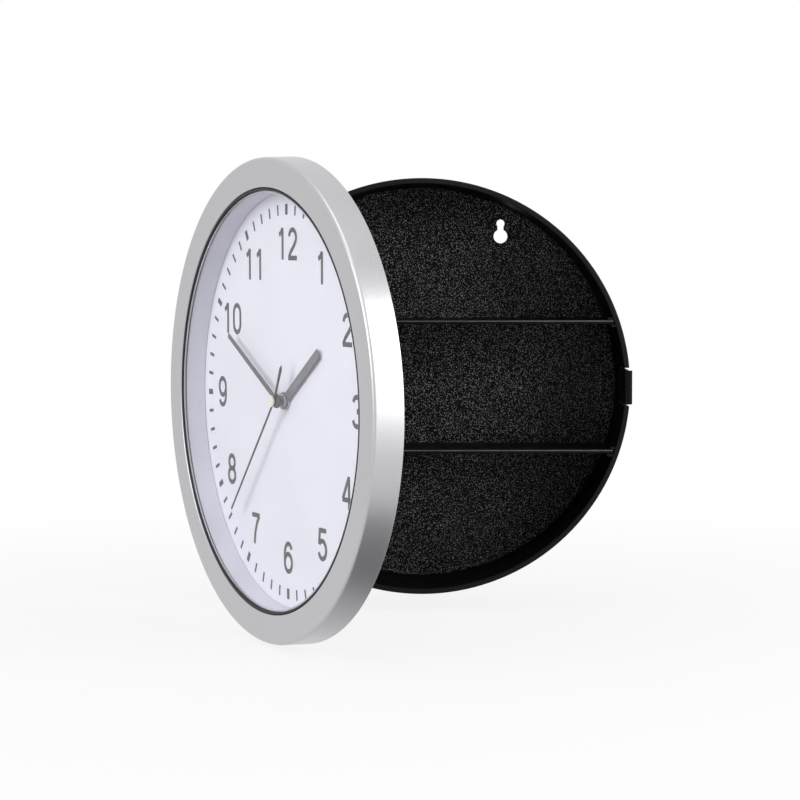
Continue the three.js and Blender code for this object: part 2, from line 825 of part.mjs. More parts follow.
// A toothed wheel or pinion with a tooth at twelve. Its flanks are involutes, drawn as one
// straight line, or as two that meet at the pitch circle where the root is inside the base
// circle.
function gear(teeth, module, back, front) {
  const pressure = THREE.MathUtils.degToRad(pressureAngle);
  const pitch = (teeth * module) / 2;
  const base = pitch * Math.cos(pressure);
  const root = pitch - dedendum * module;
  const tip = pitch + addendum * module;
  const involute = (radius) => {
    const angle = Math.acos(Math.min(base / radius, 1));
    return Math.tan(angle) - angle;
  };
  const pitchHalf = Math.PI / (2 * teeth) - toothPlay / (2 * pitch);
  const half = (radius) => pitchHalf + involute(pitch) - involute(radius);
  const rising = root < base ? [root, pitch, tip] : [root, tip];
  const falling = rising.toReversed();
  const corners = [];
  for (let tooth = 0; tooth < teeth; tooth += 1) {
    const middle = (2 * Math.PI * tooth) / teeth;
    const bearings = [
      ...rising.map((radius) => [radius, middle - half(radius)]),
      ...falling.map((radius) => [radius, middle + half(radius)]),
    ];
    corners.push(...bearings.map(([radius, angle]) => {
      return [radius * Math.sin(angle), radius * Math.cos(angle)];
    }));
  }
  return plate(outline(corners), back, front);
}

// A wheel with a pinion standing on its front, both fast on what they are joined to.
function wheelAndPinion(teeth, module, pinionModule, front) {
  const wheel = gear(teeth, module, front - wheelThickness, front);
  const pinion = gear(leaves, pinionModule, front - wheelThickness / 2, front + pinionThickness);
  return wheel.add(pinion);
}

// The hour wheel's tube turns in the bush, the minute wheel's in that, and the second
// wheel's arbor in that again, down to a pivot in the case.
const hourTubeRadius = bushBore - fitGap;
const minuteTubeRadius = hourTubeRadius - hourTubeWall - fitGap;

function buildHourWheel() {
  const low = hourWheelFront - wheelThickness;
  const tube = disc(hourTubeRadius, low, hourTop - fitGap, smallSegments);
  const bore = disc(hourTubeRadius - hourTubeWall, low - past, hourTop + past, smallSegments);
  return gear(hourWheelTeeth, hourModule, low, hourWheelFront).add(tube).subtract(bore);
}

// The minute wheel's pinion drives the motion wheel, and that one's pinion the hour wheel.
function buildMinuteWheel() {
  const low = minuteWheelFront - wheelThickness;
  const tube = disc(minuteTubeRadius, low, minuteTop - fitGap, smallSegments);
  const bore = disc(minuteTubeRadius - minuteTubeWall, low - past, minuteTop + past, smallSegments);
  return wheelAndPinion(minuteWheelTeeth, minuteModule, motionModule, minuteWheelFront)
    .add(tube)
    .subtract(bore);
}

// The motion wheel's arbor leaves the case at the back and carries the setting knob.
function buildMotionWheel() {
  const low = knobFront - knobHeight + knobBottom + fitGap;
  const arbor = disc(motionArborRadius, low, arborFront, smallSegments);
  return wheelAndPinion(motionWheelTeeth, motionModule, hourModule, motionWheelFront).add(arbor);
}

function buildThirdWheel() {
  const arbor = disc(arborRadius, postTop - pivotLength, arborFront, smallSegments);
  return wheelAndPinion(thirdWheelTeeth, thirdModule, minuteModule, thirdWheelFront).add(arbor);
}

function buildSecondWheel() {
  const arbor = disc(secondArborRadius, postTop - pivotLength, capTop - 3 * fitGap, smallSegments);
  return wheelAndPinion(secondWheelTeeth, secondModule, thirdModule, secondWheelFront).add(arbor);
}

function buildFifthWheel() {
  const low = fifthWheelFront - wheelThickness - fitGap - pivotLength;
  const arbor = disc(arborRadius, low, arborFront, smallSegments);
  return wheelAndPinion(rotorWheelTeeth, rotorModule, secondModule, fifthWheelFront).add(arbor);
}

// The rotor is a magnet that the stator turns by half a turn each second.
function buildRotor() {
  const magnetBack = magnetFront - magnetLength;
  const magnet = disc(magnetRadius, magnetBack, magnetFront, smallSegments);
  const pinion = gear(leaves, rotorModule, magnetFront - wheelThickness / 2, fifthWheelFront);
  const arbor = disc(arborRadius, magnetBack - fitGap - pivotLength, arborFront, smallSegments);
  return magnet.add(pinion).add(arbor);
}

// The middle of each arm's end, where the stator lies on a pad of the case.
function statorPad(side) {
  const reach = (statorRight - statorLeft - statorArm) / 2;
  return [statorMiddle + side * reach, 0, coilLevel()];
}

// The coil lies along the top wall of the case.
function coilLevel() {
  return movementHalf - movementWall - 2 * fitGap - cheekRadius;
}

// The stator is a ring round the rotor, with two arms and a core through the coil.
function buildStator() {
  const [x, , z] = rotorPlace;
  const hole = magnetRadius + magnetGap;
  const low = statorFront - statorThickness;
  const ring = disc(hole + statorRing, low, statorFront, hubSegments, x, z);
  const arms = outline([
    [statorLeft, z],
    [statorRight, z],
    [statorRight, coilLevel() + coilCore / 2],
    [statorLeft, coilLevel() + coilCore / 2],
  ]);
  const window = block(
    [statorLeft + statorArm, low - past, z + hole + statorRing],
    [statorRight - statorArm, statorFront + past, coilLevel() - coilCore / 2],
  );
  return plate(arms, low, statorFront)
    .add(ring)
    .subtract(window)
    .subtract(disc(hole, low - past, statorFront + past, hubSegments, x, z));
}

// A winding between two cheeks, round the stator's core.
function buildCoil() {
  const halfLength = (statorRight - statorLeft) / 2 - statorArm - fitGap;
  const shape = [
    [0, -halfLength],
    [cheekRadius, -halfLength],
    [cheekRadius, -halfLength + cheekThickness],
    [coilRadius, -halfLength + cheekThickness],
    [coilRadius, halfLength - cheekThickness],
    [cheekRadius, halfLength - cheekThickness],
    [cheekRadius, halfLength],
    [0, halfLength],
  ];
  const spool = revolve(shape, smallSegments).rotate([0, 0, 90]);
  const middle = statorFront - statorThickness / 2;
  const core = block(
    [-halfLength - past, -statorThickness / 2 - fitGap, -coilCore / 2 - fitGap],
    [halfLength + past, statorThickness / 2 + fitGap, coilCore / 2 + fitGap],
  );
  return spool.subtract(core).translate([statorMiddle, -middle, coilLevel()]);
}

// A board with the timing chip, flat on the floor of the case beside the motion work.
function buildBoard() {
  const low = chamberFloor + fitGap;
  const right = movementHalf - movementWall - fitGap - movementRound / 2;
  const left = right - boardWidth;
  const bottom = bayTop + bayPartition + movementRound / 2;
  const x = (left + right) / 2;
  const z = bottom + boardLength / 2;
  const board = block([left, low, bottom], [right, low + boardThickness, bottom + boardLength]);
  const chip = block(
    [x - chipWidth / 2, low + boardThickness / 2, z - chipWidth / 2],
    [x + chipWidth / 2, low + boardThickness + chipThickness, z + chipWidth / 2],
  );
  return board.add(chip);
}

// The hands are drawn pointing at twelve.
function buildHourHand() {
  const shape = rectangle(hourWidth / 2, 0, hourLength, handRound);
  const blade = plate(shape, hourBack, hourBack + bladeThickness);
  const collar = disc(hourCollarRadius, hourBack, hourTop);
  const bore = disc(hourTubeRadius + fitGap, hourBack - past, hourTop + past, smallSegments);
  return blade.add(collar).subtract(bore);
}

function buildMinuteHand() {
  const shape = outline([
    [-minuteWidth / 2, 0],
    [minuteWidth / 2, 0],
    [minuteTipWidth / 2, minuteLength, handRound],
    [-minuteTipWidth / 2, minuteLength, handRound],
  ]);
  const blade = plate(shape, minuteBack, minuteBack + bladeThickness);
  const collar = disc(minuteCollarRadius, minuteBack, minuteTop);
  const bore = disc(minuteTubeRadius + fitGap, minuteBack - past, minuteTop + past, smallSegments);
  return blade.add(collar).subtract(bore);
}

// A needle on one side of the arbor and a short pointed tail on the other, which is bent a
// little anticlockwise out of the needle's line, as the photo shows it.
function buildSecondHand() {
  const high = secondBack + needleThickness;
  const needle = outline([
    [-secondWidth / 2, 0],
    [secondWidth / 2, 0],
    [secondTipWidth / 2, secondLength],
    [-secondTipWidth / 2, secondLength],
  ]);
  const tail = outline([
    [-secondWidth / 2, 0],
    [-tailWidth / 2, tailWidth - tailLength],
    [0, -tailLength],
    [tailWidth / 2, tailWidth - tailLength],
    [secondWidth / 2, 0],
  ]);
  const centre = disc(secondDiscRadius, secondBack, high, smallSegments);
  const bore = disc(secondArborRadius + fitGap, secondBack - past, high + past, smallSegments);
  return plate(needle, secondBack, high)
    .add(plate(tail, secondBack, high).rotate([0, -tailBend, 0]))
    .add(centre)
    .subtract(bore);
}

function buildCap() {
  const bore = disc(secondArborRadius + fitGap, capBack - past, capTop - 2 * fitGap, smallSegments);
  const corners = [[0, capBack], [capRadius, capBack], [capRadius, capTop, capRound], [0, capTop]];
  const cap = revolve(corners, smallSegments);
  return cap.subtract(bore);
}

// An AA cell, drawn upright from its flat end and laid along x by the mesh that holds it.
function buildBattery() {
  const shoulder = batteryLength - nubLength;
  return revolve([
    [0, 0],
    [batteryRadius, 0, nubLength / 2],
    [batteryRadius, shoulder, nubLength / 2],
    [nubRadius, shoulder],
    [nubRadius, batteryLength],
    [0, batteryLength],
  ], smallSegments);
}

function buildContact(side) {
  const near = side * (batteryLength / 2 + fitGap);
  const far = side * (batteryLength / 2 + fitGap + contactThickness);
  const half = contactSize / 2;
  const low = [Math.min(near, far), batteryHeight - half, -batteryDrop - half];
  const high = [Math.max(near, far), batteryHeight + half, -batteryDrop + half];
  return block(low, high);
}

// A fluted knob behind the movement, pushed on the end of the motion wheel's arbor.
function buildKnob() {
  const low = knobFront - knobHeight;
  const bore = disc(motionArborRadius + fitGap, low + knobBottom, knobFront + past, smallSegments);
  const knob = disc(knobRadius, low, knobFront).subtract(bore);
  const flutes = Array.from({ length: knobFlutes }, (_, index) => {
    const [x, , z] = placeBeside([0, 0, 0], knobRadius, (360 * index) / knobFlutes);
    return disc(knobFluteRadius, low - past, knobFront + past, screwSegments, x, z);
  });
  return flutes.reduce((rest, flute) => rest.subtract(flute), knob);
}

// A piece of the lid at a place, turned clockwise from twelve.
function turned(mesh, degrees, place = [0, 0, 0]) {
  mesh.rotation.y = THREE.MathUtils.degToRad(degrees);
  mesh.position.set(...place);
  return mesh;
}

const clock = new THREE.Group();
clock.add(
  piece("back_box", buildBox(), blackPlastic),
  piece("latch_tongue", buildTongue(), blackPlastic),
  piece("upper_shelf", buildShelf(shelfOffset), blackPlastic),
  piece("lower_shelf", buildShelf(-shelfOffset), blackPlastic),
  piece("hinge_pin", buildHingePin(), steel),
);

// The lid's own origin is the middle of the box's rim. The swing group turns about the
// hinge pin, and the lid hangs in it where it would be when shut.
const swing = new THREE.Group();
const lid = new THREE.Group();
swing.position.set(hingeX, -hingeHeight, 0);
swing.rotation.z = -THREE.MathUtils.degToRad(restOpening);
lid.position.set(-hingeX, hingeHeight - boxDepth, 0);
swing.add(lid);
clock.add(swing);

lid.add(
  piece("bezel", buildBezel(), silverPlastic),
  piece("lens_gasket", buildGasket(), rubber),
  piece("glass_lens", buildGlass(), glass),
  piece("reflector_ring", buildReflector(), greyPlastic),
  piece("dial", buildDial(), dialWhite),
  piece("rear_cover", buildCover(), blackPlastic),
  piece("rubber_washer", buildWasher(), rubber),
  piece("movement_front", buildMovementFront(), blackPlastic),
  piece("movement_case", buildMovementCase(), blackPlastic),
  piece("mounting_bush", buildBush(), brass),
  piece("bush_nut", buildNut(), brass),
  piece("left_contact", buildContact(-1), steel),
  piece("right_contact", buildContact(1), steel),
);

screwPlaces().forEach((place, index) => {
  lid.add(piece(`cover_screw_${index + 1}`, buildScrew(place), steel));
});

const battery = piece("battery", buildBattery(), batterySkin);
battery.rotation.z = Math.PI / 2;
battery.position.set(-batteryLength / 2, -batteryHeight, -batteryDrop);
lid.add(battery);

lid.add(
  turned(piece("hour_wheel", buildHourWheel(), whiteGear), hourTurn),
  turned(piece("hour_hand", buildHourHand(), handGrey), hourAngle),
  turned(piece("minute_wheel", buildMinuteWheel(), whiteGear), minuteTurn),
  turned(piece("minute_hand", buildMinuteHand(), handGrey), minuteAngle),
  turned(piece("second_wheel", buildSecondWheel(), whiteGear), secondTurn),
  turned(piece("second_hand", buildSecondHand(), needleBlack), secondAngle),
  turned(piece("second_hand_cap", buildCap(), capCream), secondAngle),
  turned(piece("motion_wheel", buildMotionWheel(), whiteGear), motionTurn, motionPlace),
  turned(piece("setting_knob", buildKnob(), whiteGear), motionTurn, motionPlace),
  turned(piece("third_wheel", buildThirdWheel(), whiteGear), thirdTurn, thirdPlace),
  turned(piece("fifth_wheel", buildFifthWheel(), whiteGear), fifthTurn, fifthPlace),
  turned(piece("rotor", buildRotor(), magnetGrey), rotorTurn, rotorPlace),
  piece("stator", buildStator(), steel),
  piece("coil", buildCoil(), copper),
  piece("circuit_board", buildBoard(), boardGreen),
);

export default clock;
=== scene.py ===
# %% [markdown]
# # A wall clock that hides a box
# The clock's face is a lid. It hangs on a hinge at the left of a shallow round box with two
# shelves, and stands open by 61.7 degrees, as in the photograph.
# The solid model is in place and fixed. This lesson dresses it: pieces that show get finer
# surfaces, and everything gets a finish made of nodes.

import bmesh
import bpy
import numpy as np
from mathutils import Matrix, Vector


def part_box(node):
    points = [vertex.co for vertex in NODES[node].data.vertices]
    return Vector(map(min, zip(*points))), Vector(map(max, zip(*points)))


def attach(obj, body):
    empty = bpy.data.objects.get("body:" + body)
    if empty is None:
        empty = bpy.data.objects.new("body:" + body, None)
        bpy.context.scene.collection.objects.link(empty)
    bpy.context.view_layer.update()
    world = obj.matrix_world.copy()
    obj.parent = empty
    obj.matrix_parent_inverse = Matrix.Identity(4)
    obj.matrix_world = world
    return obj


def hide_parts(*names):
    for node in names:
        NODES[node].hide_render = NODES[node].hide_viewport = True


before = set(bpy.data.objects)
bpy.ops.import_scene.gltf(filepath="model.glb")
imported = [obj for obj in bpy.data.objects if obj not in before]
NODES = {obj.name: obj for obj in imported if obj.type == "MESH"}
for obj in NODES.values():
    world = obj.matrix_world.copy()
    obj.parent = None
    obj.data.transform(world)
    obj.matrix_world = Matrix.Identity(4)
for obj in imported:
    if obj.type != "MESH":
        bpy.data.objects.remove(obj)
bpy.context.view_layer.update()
MM = 0.001

# %% [markdown]
# ## Where things are
# Two plain systems of coordinates in millimetres keep the numbers readable. On the box a
# point is x to the right, a height from the wall towards the front, and z upwards. On the lid
# the height counts from the plane of the box's rim, and the lid is described shut. One
# function for each turns such a point into Blender's metres. The lid's also turns it about
# the hinge, so that it lands where the open lid is.

# %% Two maps from millimetres to the scene
BOX_RADIUS = 119.0
BOX_DEPTH = 52.0
HINGE_X = -122.5
HINGE_BACK = 5.0
OPEN = np.radians(61.7)


def on_box(x, height, z):
    """A point of the box: the height runs along -Y from the wall."""
    x, height, z = np.broadcast_arrays(x, height, z)
    return np.stack([x, -height, z], -1) * MM


def on_lid(x, height, z):
    """A point of the lid: first where it is when shut, then turned about the hinge by the
    opening angle, clockwise seen from above."""
    x, height, z = np.broadcast_arrays(x, height, z)
    right = x - HINGE_X
    back = -height - HINGE_BACK
    turned_x = HINGE_X + right * np.cos(OPEN) + back * np.sin(OPEN)
    turned_y = HINGE_BACK - BOX_DEPTH - right * np.sin(OPEN) + back * np.cos(OPEN)
    return np.stack([turned_x, turned_y, z], -1) * MM


def add(name, data):
    """A new object in the scene, with this mesh, lamp or camera."""
    obj = bpy.data.objects.new(name, data)
    bpy.context.scene.collection.objects.link(obj)
    return obj


hub = on_lid(0.0, 0.0, 0.0)
print("middle of the lid in mm", np.round(hub / MM, 2))

# %% [markdown]
# ## The camera
# The photograph looks straight at the box from a little above, through a long lens, so the
# box's rim is a true circle on the picture. The camera stands 1.37 m away and looks down by
# four degrees. A long lens flattens depth, so the lid's two rims look alike.

# %% Camera
CAMERA_PLACE = (-1.868, -1373.31, 86.13)
CAMERA_TURN = 0.4533
CAMERA_DIP = 4.0402
CAMERA_ROLL = 0.0863
SENSOR = 36.0
FOCAL_PIXELS = 2321.06
WIDTH_PIXELS = 800
LENS = FOCAL_PIXELS * SENSOR / WIDTH_PIXELS

camera_data = bpy.data.cameras.new("camera")
camera_data.sensor_width = SENSOR
camera_data.lens = LENS
camera_data.clip_start = 0.05
camera_data.clip_end = 20.0
camera = add("camera", camera_data)
level = Matrix.Rotation(np.radians(CAMERA_TURN), 4, "Z")
dip = Matrix.Rotation(np.radians(90 - CAMERA_DIP), 4, "X")
roll = Matrix.Rotation(np.radians(-CAMERA_ROLL), 4, "Z")
camera.matrix_world = Matrix.Translation(Vector(CAMERA_PLACE) * MM) @ level @ dip @ roll
bpy.context.scene.camera = camera
print("lens in mm", round(LENS, 2))

# %% [markdown]
# ## Surfaces from arrays
# Nearly everything on a clock is turned: a profile goes round an axis. In Blender that could
# be a curve with a Screw modifier, but a grid of points worked out with numpy is exact, and
# the same few lines serve box, bezel, glass and screws.
# A moulded edge is never sharp, so the profile's corners are rounded first. Two extra points
# beside each rounding keep its smooth shading off the flat faces.

# %% Rounded profiles
EASE = 0.35


def unit(vectors):
    """Vectors brought to a length of 1."""
    return vectors / np.linalg.norm(vectors, axis=-1, keepdims=True)


def rounded(corners, steps=5):
    """Points along a closed outline. A corner [a, b, radius] becomes an arc of that radius,
    tangent to both of its sides, with a point a little before it and one a little after."""
    flat = np.array([corner[:2] for corner in corners], float)
    points = []
    for index, (here, corner) in enumerate(zip(flat, corners)):
        if len(corner) < 3:
            points.append(here)
            continue
        radius = corner[2]
        before = unit(flat[index - 1] - here)
        after = unit(flat[(index + 1) % len(flat)] - here)
        half = np.arccos(np.clip(before @ after, -1, 1)) / 2
        cut = radius / np.tan(half)
        centre = here + unit(before + after) * radius / np.sin(half)
        start = here + before * cut - centre
        end = here + after * cut - centre
        sweep = np.arccos(np.clip(start @ end / radius**2, -1, 1))
        share = np.linspace(0, 1, steps + 1)[:, None]
        arc = (np.sin((1 - share) * sweep) * start + np.sin(share * sweep) * end) / np.sin(sweep)
        reach = cut + EASE * radius
        points.extend([here + before * reach, centre + arc, here + after * reach])
    return np.vstack(points)


# %% Meshes from arrays
FINE = 240
HUB = 72
SMALL = 40
SAME = 2e-7


def finished(name, work):
    """A new object from what bmesh has made."""
    mesh = bpy.data.meshes.new(name)
    work.to_mesh(mesh)
    work.free()
    return add(name, mesh)


def opened(points, faces):
    """Points and faces as a mesh for bmesh to work on."""
    mesh = bpy.data.meshes.new("draft")
    mesh.from_pydata(points.reshape(-1, 3).tolist(), [], faces)
    work = bmesh.new()
    work.from_mesh(mesh)
    bpy.data.meshes.remove(mesh)
    return work


def mesh_from(name, points, faces):
    """A clean closed mesh: doubled points are merged, and the faces turned outwards."""
    work = opened(points, faces)
    bmesh.ops.remove_doubles(work, verts=work.verts, dist=SAME)
    bmesh.ops.dissolve_degenerate(work, edges=work.edges, dist=SAME / 2)
    loose = [edge for edge in work.edges if not edge.link_faces]
    bmesh.ops.delete(work, geom=loose, context="EDGES")
    bmesh.ops.recalc_face_normals(work, faces=work.faces)
    return finished(name, work)


def grid_faces(rows, columns):
    """The quads of a grid that closes on itself both ways, as an array of four indices."""
    row, column = np.meshgrid(np.arange(rows), np.arange(columns), indexing="ij")
    next_row = (row + 1) % rows
    next_column = (column + 1) % columns
    quads = [
        row * columns + column,
        next_row * columns + column,
        next_row * columns + next_column,
        row * columns + next_column,
    ]
    return np.stack(quads, -1).reshape(-1, 4)


def lathe(name, profile, put, segments=FINE, at=(0.0, 0.0)):
    """A turned solid. Each profile point (radius, height) goes round a circle, so the point at
    angle t is (radius cos t, height, radius sin t), moved to where the axis stands. Points on
    the axis fall together and are merged into one pole."""
    angle = np.linspace(0, 2 * np.pi, segments, endpoint=False)
    radius, height = np.array(profile, float).T
    x = at[0] + radius[:, None] * np.cos(angle)
    z = at[1] + radius[:, None] * np.sin(angle)
    points = put(x, height[:, None], z)
    return mesh_from(name, points, grid_faces(len(radius), segments).tolist())


def plate(name, outline, low, high, put, edge=0.0):
    """A flat solid. The outline's points (x, z) are repeated at four levels: in by the edge's
    width at the bottom, full, full again, and in at the top. Without an edge two levels do."""
    outline = np.array(outline, float)
    after = np.roll(outline, -1, 0)
    along = unit(after - np.roll(outline, 1, 0))
    area = np.sum(outline[:, 0] * after[:, 1] - outline[:, 1] * after[:, 0])
    inwards = np.stack([-along[:, 1], along[:, 0]], -1) * np.sign(area)
    inner = outline + inwards * edge
    levels = [(inner, low), (outline, low + edge), (outline, high - edge), (inner, high)]
    levels = levels if edge > 0 else levels[::3]
    points = np.concatenate([put(flat[:, 0], height, flat[:, 1]) for flat, height in levels])
    count = len(outline)
    faces = grid_faces(len(levels), count)[:-count].tolist()
    faces.append(list(range(count)))
    faces.append(list(range(len(points) - count, len(points))))
    return mesh_from(name, points, faces)


def block(low, high, put):
    """A box between two corners (x, height, z), for use in cutting and joining."""
    outline = [(low[0], low[2]), (high[0], low[2]), (high[0], high[2]), (low[0], high[2])]
    return plate("block", outline, low[1], high[1], put)


def drill(radius, low, high, put, segments=SMALL, at=(0.0, 0.0)):
    """A round bar from one height to another, for cutting a hole."""
    return lathe("drill", [(0, low), (radius, low), (radius, high), (0, high)], put, segments, at)


print("a ring of quads", grid_faces(2, FINE).shape)

# %% [markdown]
# ## Joining and cutting
# Slots, keyholes and hinge knuckles aren't turned. They are small solids that a Boolean
# modifier joins to the turned one or cuts out of it. It is applied at once, so that the piece
# is one clean mesh, and marking every edge sharper than thirty degrees keeps faces flat.

# %% Boolean helpers
SHARP = np.radians(30)


def merged(name, parts):
    """Several meshes as one object."""
    work = bmesh.new()
    for part in parts:
        work.from_mesh(part.data)
        bpy.data.objects.remove(part)
    return finished(name, work)


def apply_modifiers(obj):
    """Replaces an object's mesh with what its modifiers make of it."""
    bpy.context.view_layer.update()
    seen = obj.evaluated_get(bpy.context.evaluated_depsgraph_get())
    made = bpy.data.meshes.new_from_object(seen)
    obj.modifiers.clear()
    obj.data = made
    obj.data.name = obj.name


def combine(obj, parts, operation):
    """Joins parts to an object, or cuts them out of it."""
    tool = merged("tool", parts)
    change = obj.modifiers.new(operation.lower(), "BOOLEAN")
    change.operation = operation
    change.solver = "EXACT"
    change.object = tool
    apply_modifiers(obj)
    bpy.data.objects.remove(tool)


def even_shading(obj):
    """Lets the large faces lead the normals at a soft edge."""
    even = obj.modifiers.new("even shading", "WEIGHTED_NORMAL")
    even.keep_sharp = True


def place(obj, body, slot, material, *stands_for):
    """Gives a piece its finish, its body and the nodes it stands for. Its slot is not used."""
    obj.data.shade_smooth()
    obj.data.set_sharp_from_angle(angle=SHARP)
    even_shading(obj)
    obj.data.materials.clear()
    obj.data.materials.append(material)
    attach(obj, body)
    if stands_for:
        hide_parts(*stands_for)
    print(obj.name, len(obj.data.polygons), "faces")


# %% [markdown]
# ## Finishes from nodes
# A finish is a small program. To keep it readable, node sockets are wrapped so that Python's
# own operators add the Math nodes: `1 - mask * 0.5` makes two. All other nodes come from one
# method that takes the node's type, inputs and settings.

# %% A socket that does arithmetic
class Wire:
    """One output socket of a finish, for use in expressions."""

    def __init__(self, finish, socket):
        self.finish = finish
        self.socket = socket

    def math(self, operation, *others):
        sockets = dict(enumerate((self, *others)))
        return self.finish.node("ShaderNodeMath", sockets, {"operation": operation})

    def __add__(self, other):
        return self.math("ADD", other)

    def __sub__(self, other):
        return self.math("SUBTRACT", other)

    def __mul__(self, other):
        return self.math("MULTIPLY", other)

    def __pow__(self, other):
        return self.math("POWER", other)

    def __rsub__(self, other):
        return self.finish.node("ShaderNodeMath", {0: other, 1: self}, {"operation": "SUBTRACT"})

    __radd__ = __add__
    __rmul__ = __mul__

    def clamp(self):
        """Held between 0 and 1."""
        return self.math("MAXIMUM", 0.0).math("MINIMUM", 1.0)


def opaque(colour):
    """A colour for a socket: a Wire stays as it is, three numbers get an alpha of 1."""
    return colour if isinstance(colour, Wire) else (*colour, 1.0)


# %% A finish under construction
ROUND = (1.0, 0.0, 1.0)


class Finish:
    """A node tree, of a new material or of the world. The method node makes every node."""

    def __init__(self, name, owner=None):
        self.owner = owner or bpy.data.materials.new(name)
        self.owner.use_nodes = True
        self.tree = self.owner.node_tree
        self.tree.nodes.clear()

    def node(self, kind, sockets=None, settings=None, output=0):
        """Adds a node: its kind, its inputs by name or number, each a value or a Wire, its
        settings, and which output is wanted."""
        made = self.tree.nodes.new(kind)
        for key, value in (settings or {}).items():
            setattr(made, key, value)
        for key, value in (sockets or {}).items():
            if isinstance(value, Wire):
                self.tree.links.new(value.socket, made.inputs[key])
            else:
                made.inputs[key].default_value = value
        if made.outputs:
            return Wire(self, made.outputs[output])

    def coordinates(self):
        return self.node("ShaderNodeTexCoord", output="Object")

    def placed(self, put, turn=(0.0, 0.0, 0.0), stretch=(1.0, 1.0, 1.0)):
        """Object coordinates seen from a point of the scene, turned and stretched."""
        sockets = {0: self.coordinates(), "Location": tuple(put), "Rotation": turn, "Scale": stretch}
        return self.node("ShaderNodeMapping", sockets, {"vector_type": "TEXTURE"})

    def lid(self, stretch=(1.0, 1.0, 1.0)):
        """Coordinates from the lid's middle as if it were shut: x, minus the height, and z."""
        return self.placed(hub, (0.0, 0.0, -OPEN), stretch)

    def part(self, axis, vector=None):
        """The X, Y or Z of a vector, or of the object coordinates."""
        return self.node("ShaderNodeSeparateXYZ", {0: vector or self.coordinates()}, output=axis)

    def length(self, vector, keep=(1.0, 1.0, 1.0)):
        """A vector's length, where only the directions kept by a 1 count."""
        kept = self.node("ShaderNodeVectorMath", {0: vector, 1: keep}, {"operation": "MULTIPLY"})
        return self.node("ShaderNodeVectorMath", {0: kept}, {"operation": "LENGTH"}, "Value")

    def from_axis(self):
        """The distance from the lid's axis, in metres."""
        return self.length(self.lid(), ROUND)

    def noise(self, size, detail=3.0, rough=0.5, vector=None):
        """Soft cloudy noise whose features are about size millimetres across."""
        vector = vector or self.coordinates()
        sockets = {"Vector": vector, "Scale": 1 / (size * MM), "Detail": detail, "Roughness": rough}
        return self.node("ShaderNodeTexNoise", sockets)

    def cells(self, size, feature="F1", output="Distance", **sockets):
        """Cells about size millimetres across: the distance to a cell's middle or edge, or a
        colour for each cell."""
        sockets = {"Vector": self.coordinates(), "Scale": 1 / (size * MM), **sockets}
        return self.node("ShaderNodeTexVoronoi", sockets, {"feature": feature}, output)

    def span(self, value, low, high, to_low=0.0, to_high=1.0):
        """A value mapped from one span to another, held at the ends."""
        sockets = {0: value, 1: low, 2: high, 3: to_low, 4: to_high}
        return self.node("ShaderNodeMapRange", sockets, {"clamp": True})

    def rise(self, value, start, full):
        """0 up to one length in millimetres, 1 from another one on, and even in between."""
        return self.span(value, start * MM, full * MM)

    def blend(self, share, one, other):
        """A colour between two, by a share from 0 to 1."""
        sockets = {0: share, 6: opaque(one), 7: opaque(other)}
        return self.node("ShaderNodeMix", sockets, {"data_type": "RGBA"}, 2)

    def worn(self, low=0.51, high=0.56):
        """1 on edges that stick out, by how pointed the surface is."""
        return self.span(self.node("ShaderNodeNewGeometry", output="Pointiness"), low, high)

    def bump(self, height, depth, strength=1.0, under=None):
        """A normal from a height of 0 to 1 that stands for depth millimetres."""
        sockets = {"Height": height, "Distance": depth * MM, "Strength": strength}
        if under is not None:
            sockets["Normal"] = under
        return self.node("ShaderNodeBump", sockets)

    def ray(self, kind):
        """1 for rays of one kind, such as Camera, Glossy, Transmission or Shadow."""
        return self.node("ShaderNodeLightPath", output=f"Is {kind} Ray")

    def before_matt(self):
        """1 until a ray has left a matt surface, and 0 from there on."""
        return (1 - self.node("ShaderNodeLightPath", output="Diffuse Depth")).clamp()

    def surface(self, **sockets):
        """The Principled shader. Underscores in a name stand for spaces."""
        named = {key.replace("_", " "): value for key, value in sockets.items()}
        named["Base Color"] = opaque(named["Base Color"])
        return self.node("ShaderNodeBsdfPrincipled", named)

    def show(self, shader, output="ShaderNodeOutputMaterial"):
        """Ends the tree, and gives back the material or the world."""
        self.node(output, {"Surface": shader})
        print(self.owner.name, len(self.tree.nodes), "nodes")
        return self.owner

    def done(self, colour, rough, normal, **more):
        """Ends a material that is one Principled shader."""
        return self.show(self.surface(Base_Color=colour, Roughness=rough, Normal=normal, **more))


# %% [markdown]
# ## Black moulded plastic
# The box is black plastic from a mould whose steel was etched, so its floor carries a fine
# pebble grain, a little under a millimetre across, while its walls and its back are plain. A
# photograph of plastic would give that too, but noise gives it at any distance and on any
# shape. Cells make the pebbles and a finer noise roughens them. What stands highest is painted
# pale: painted glints, for the sparkle of light on such grain. Handling rubs the rim of the
# box and the outer edge of the lid's back. A shelf's front edge gets a thin pale line along
# its top: a painted highlight. Wear and highlight are placed by measure, because how pointed
# a mesh is tells little on thin plates.

# %% Black plastics
SHELF_LEVEL = 37.0
SHELF_THICK = 2.0


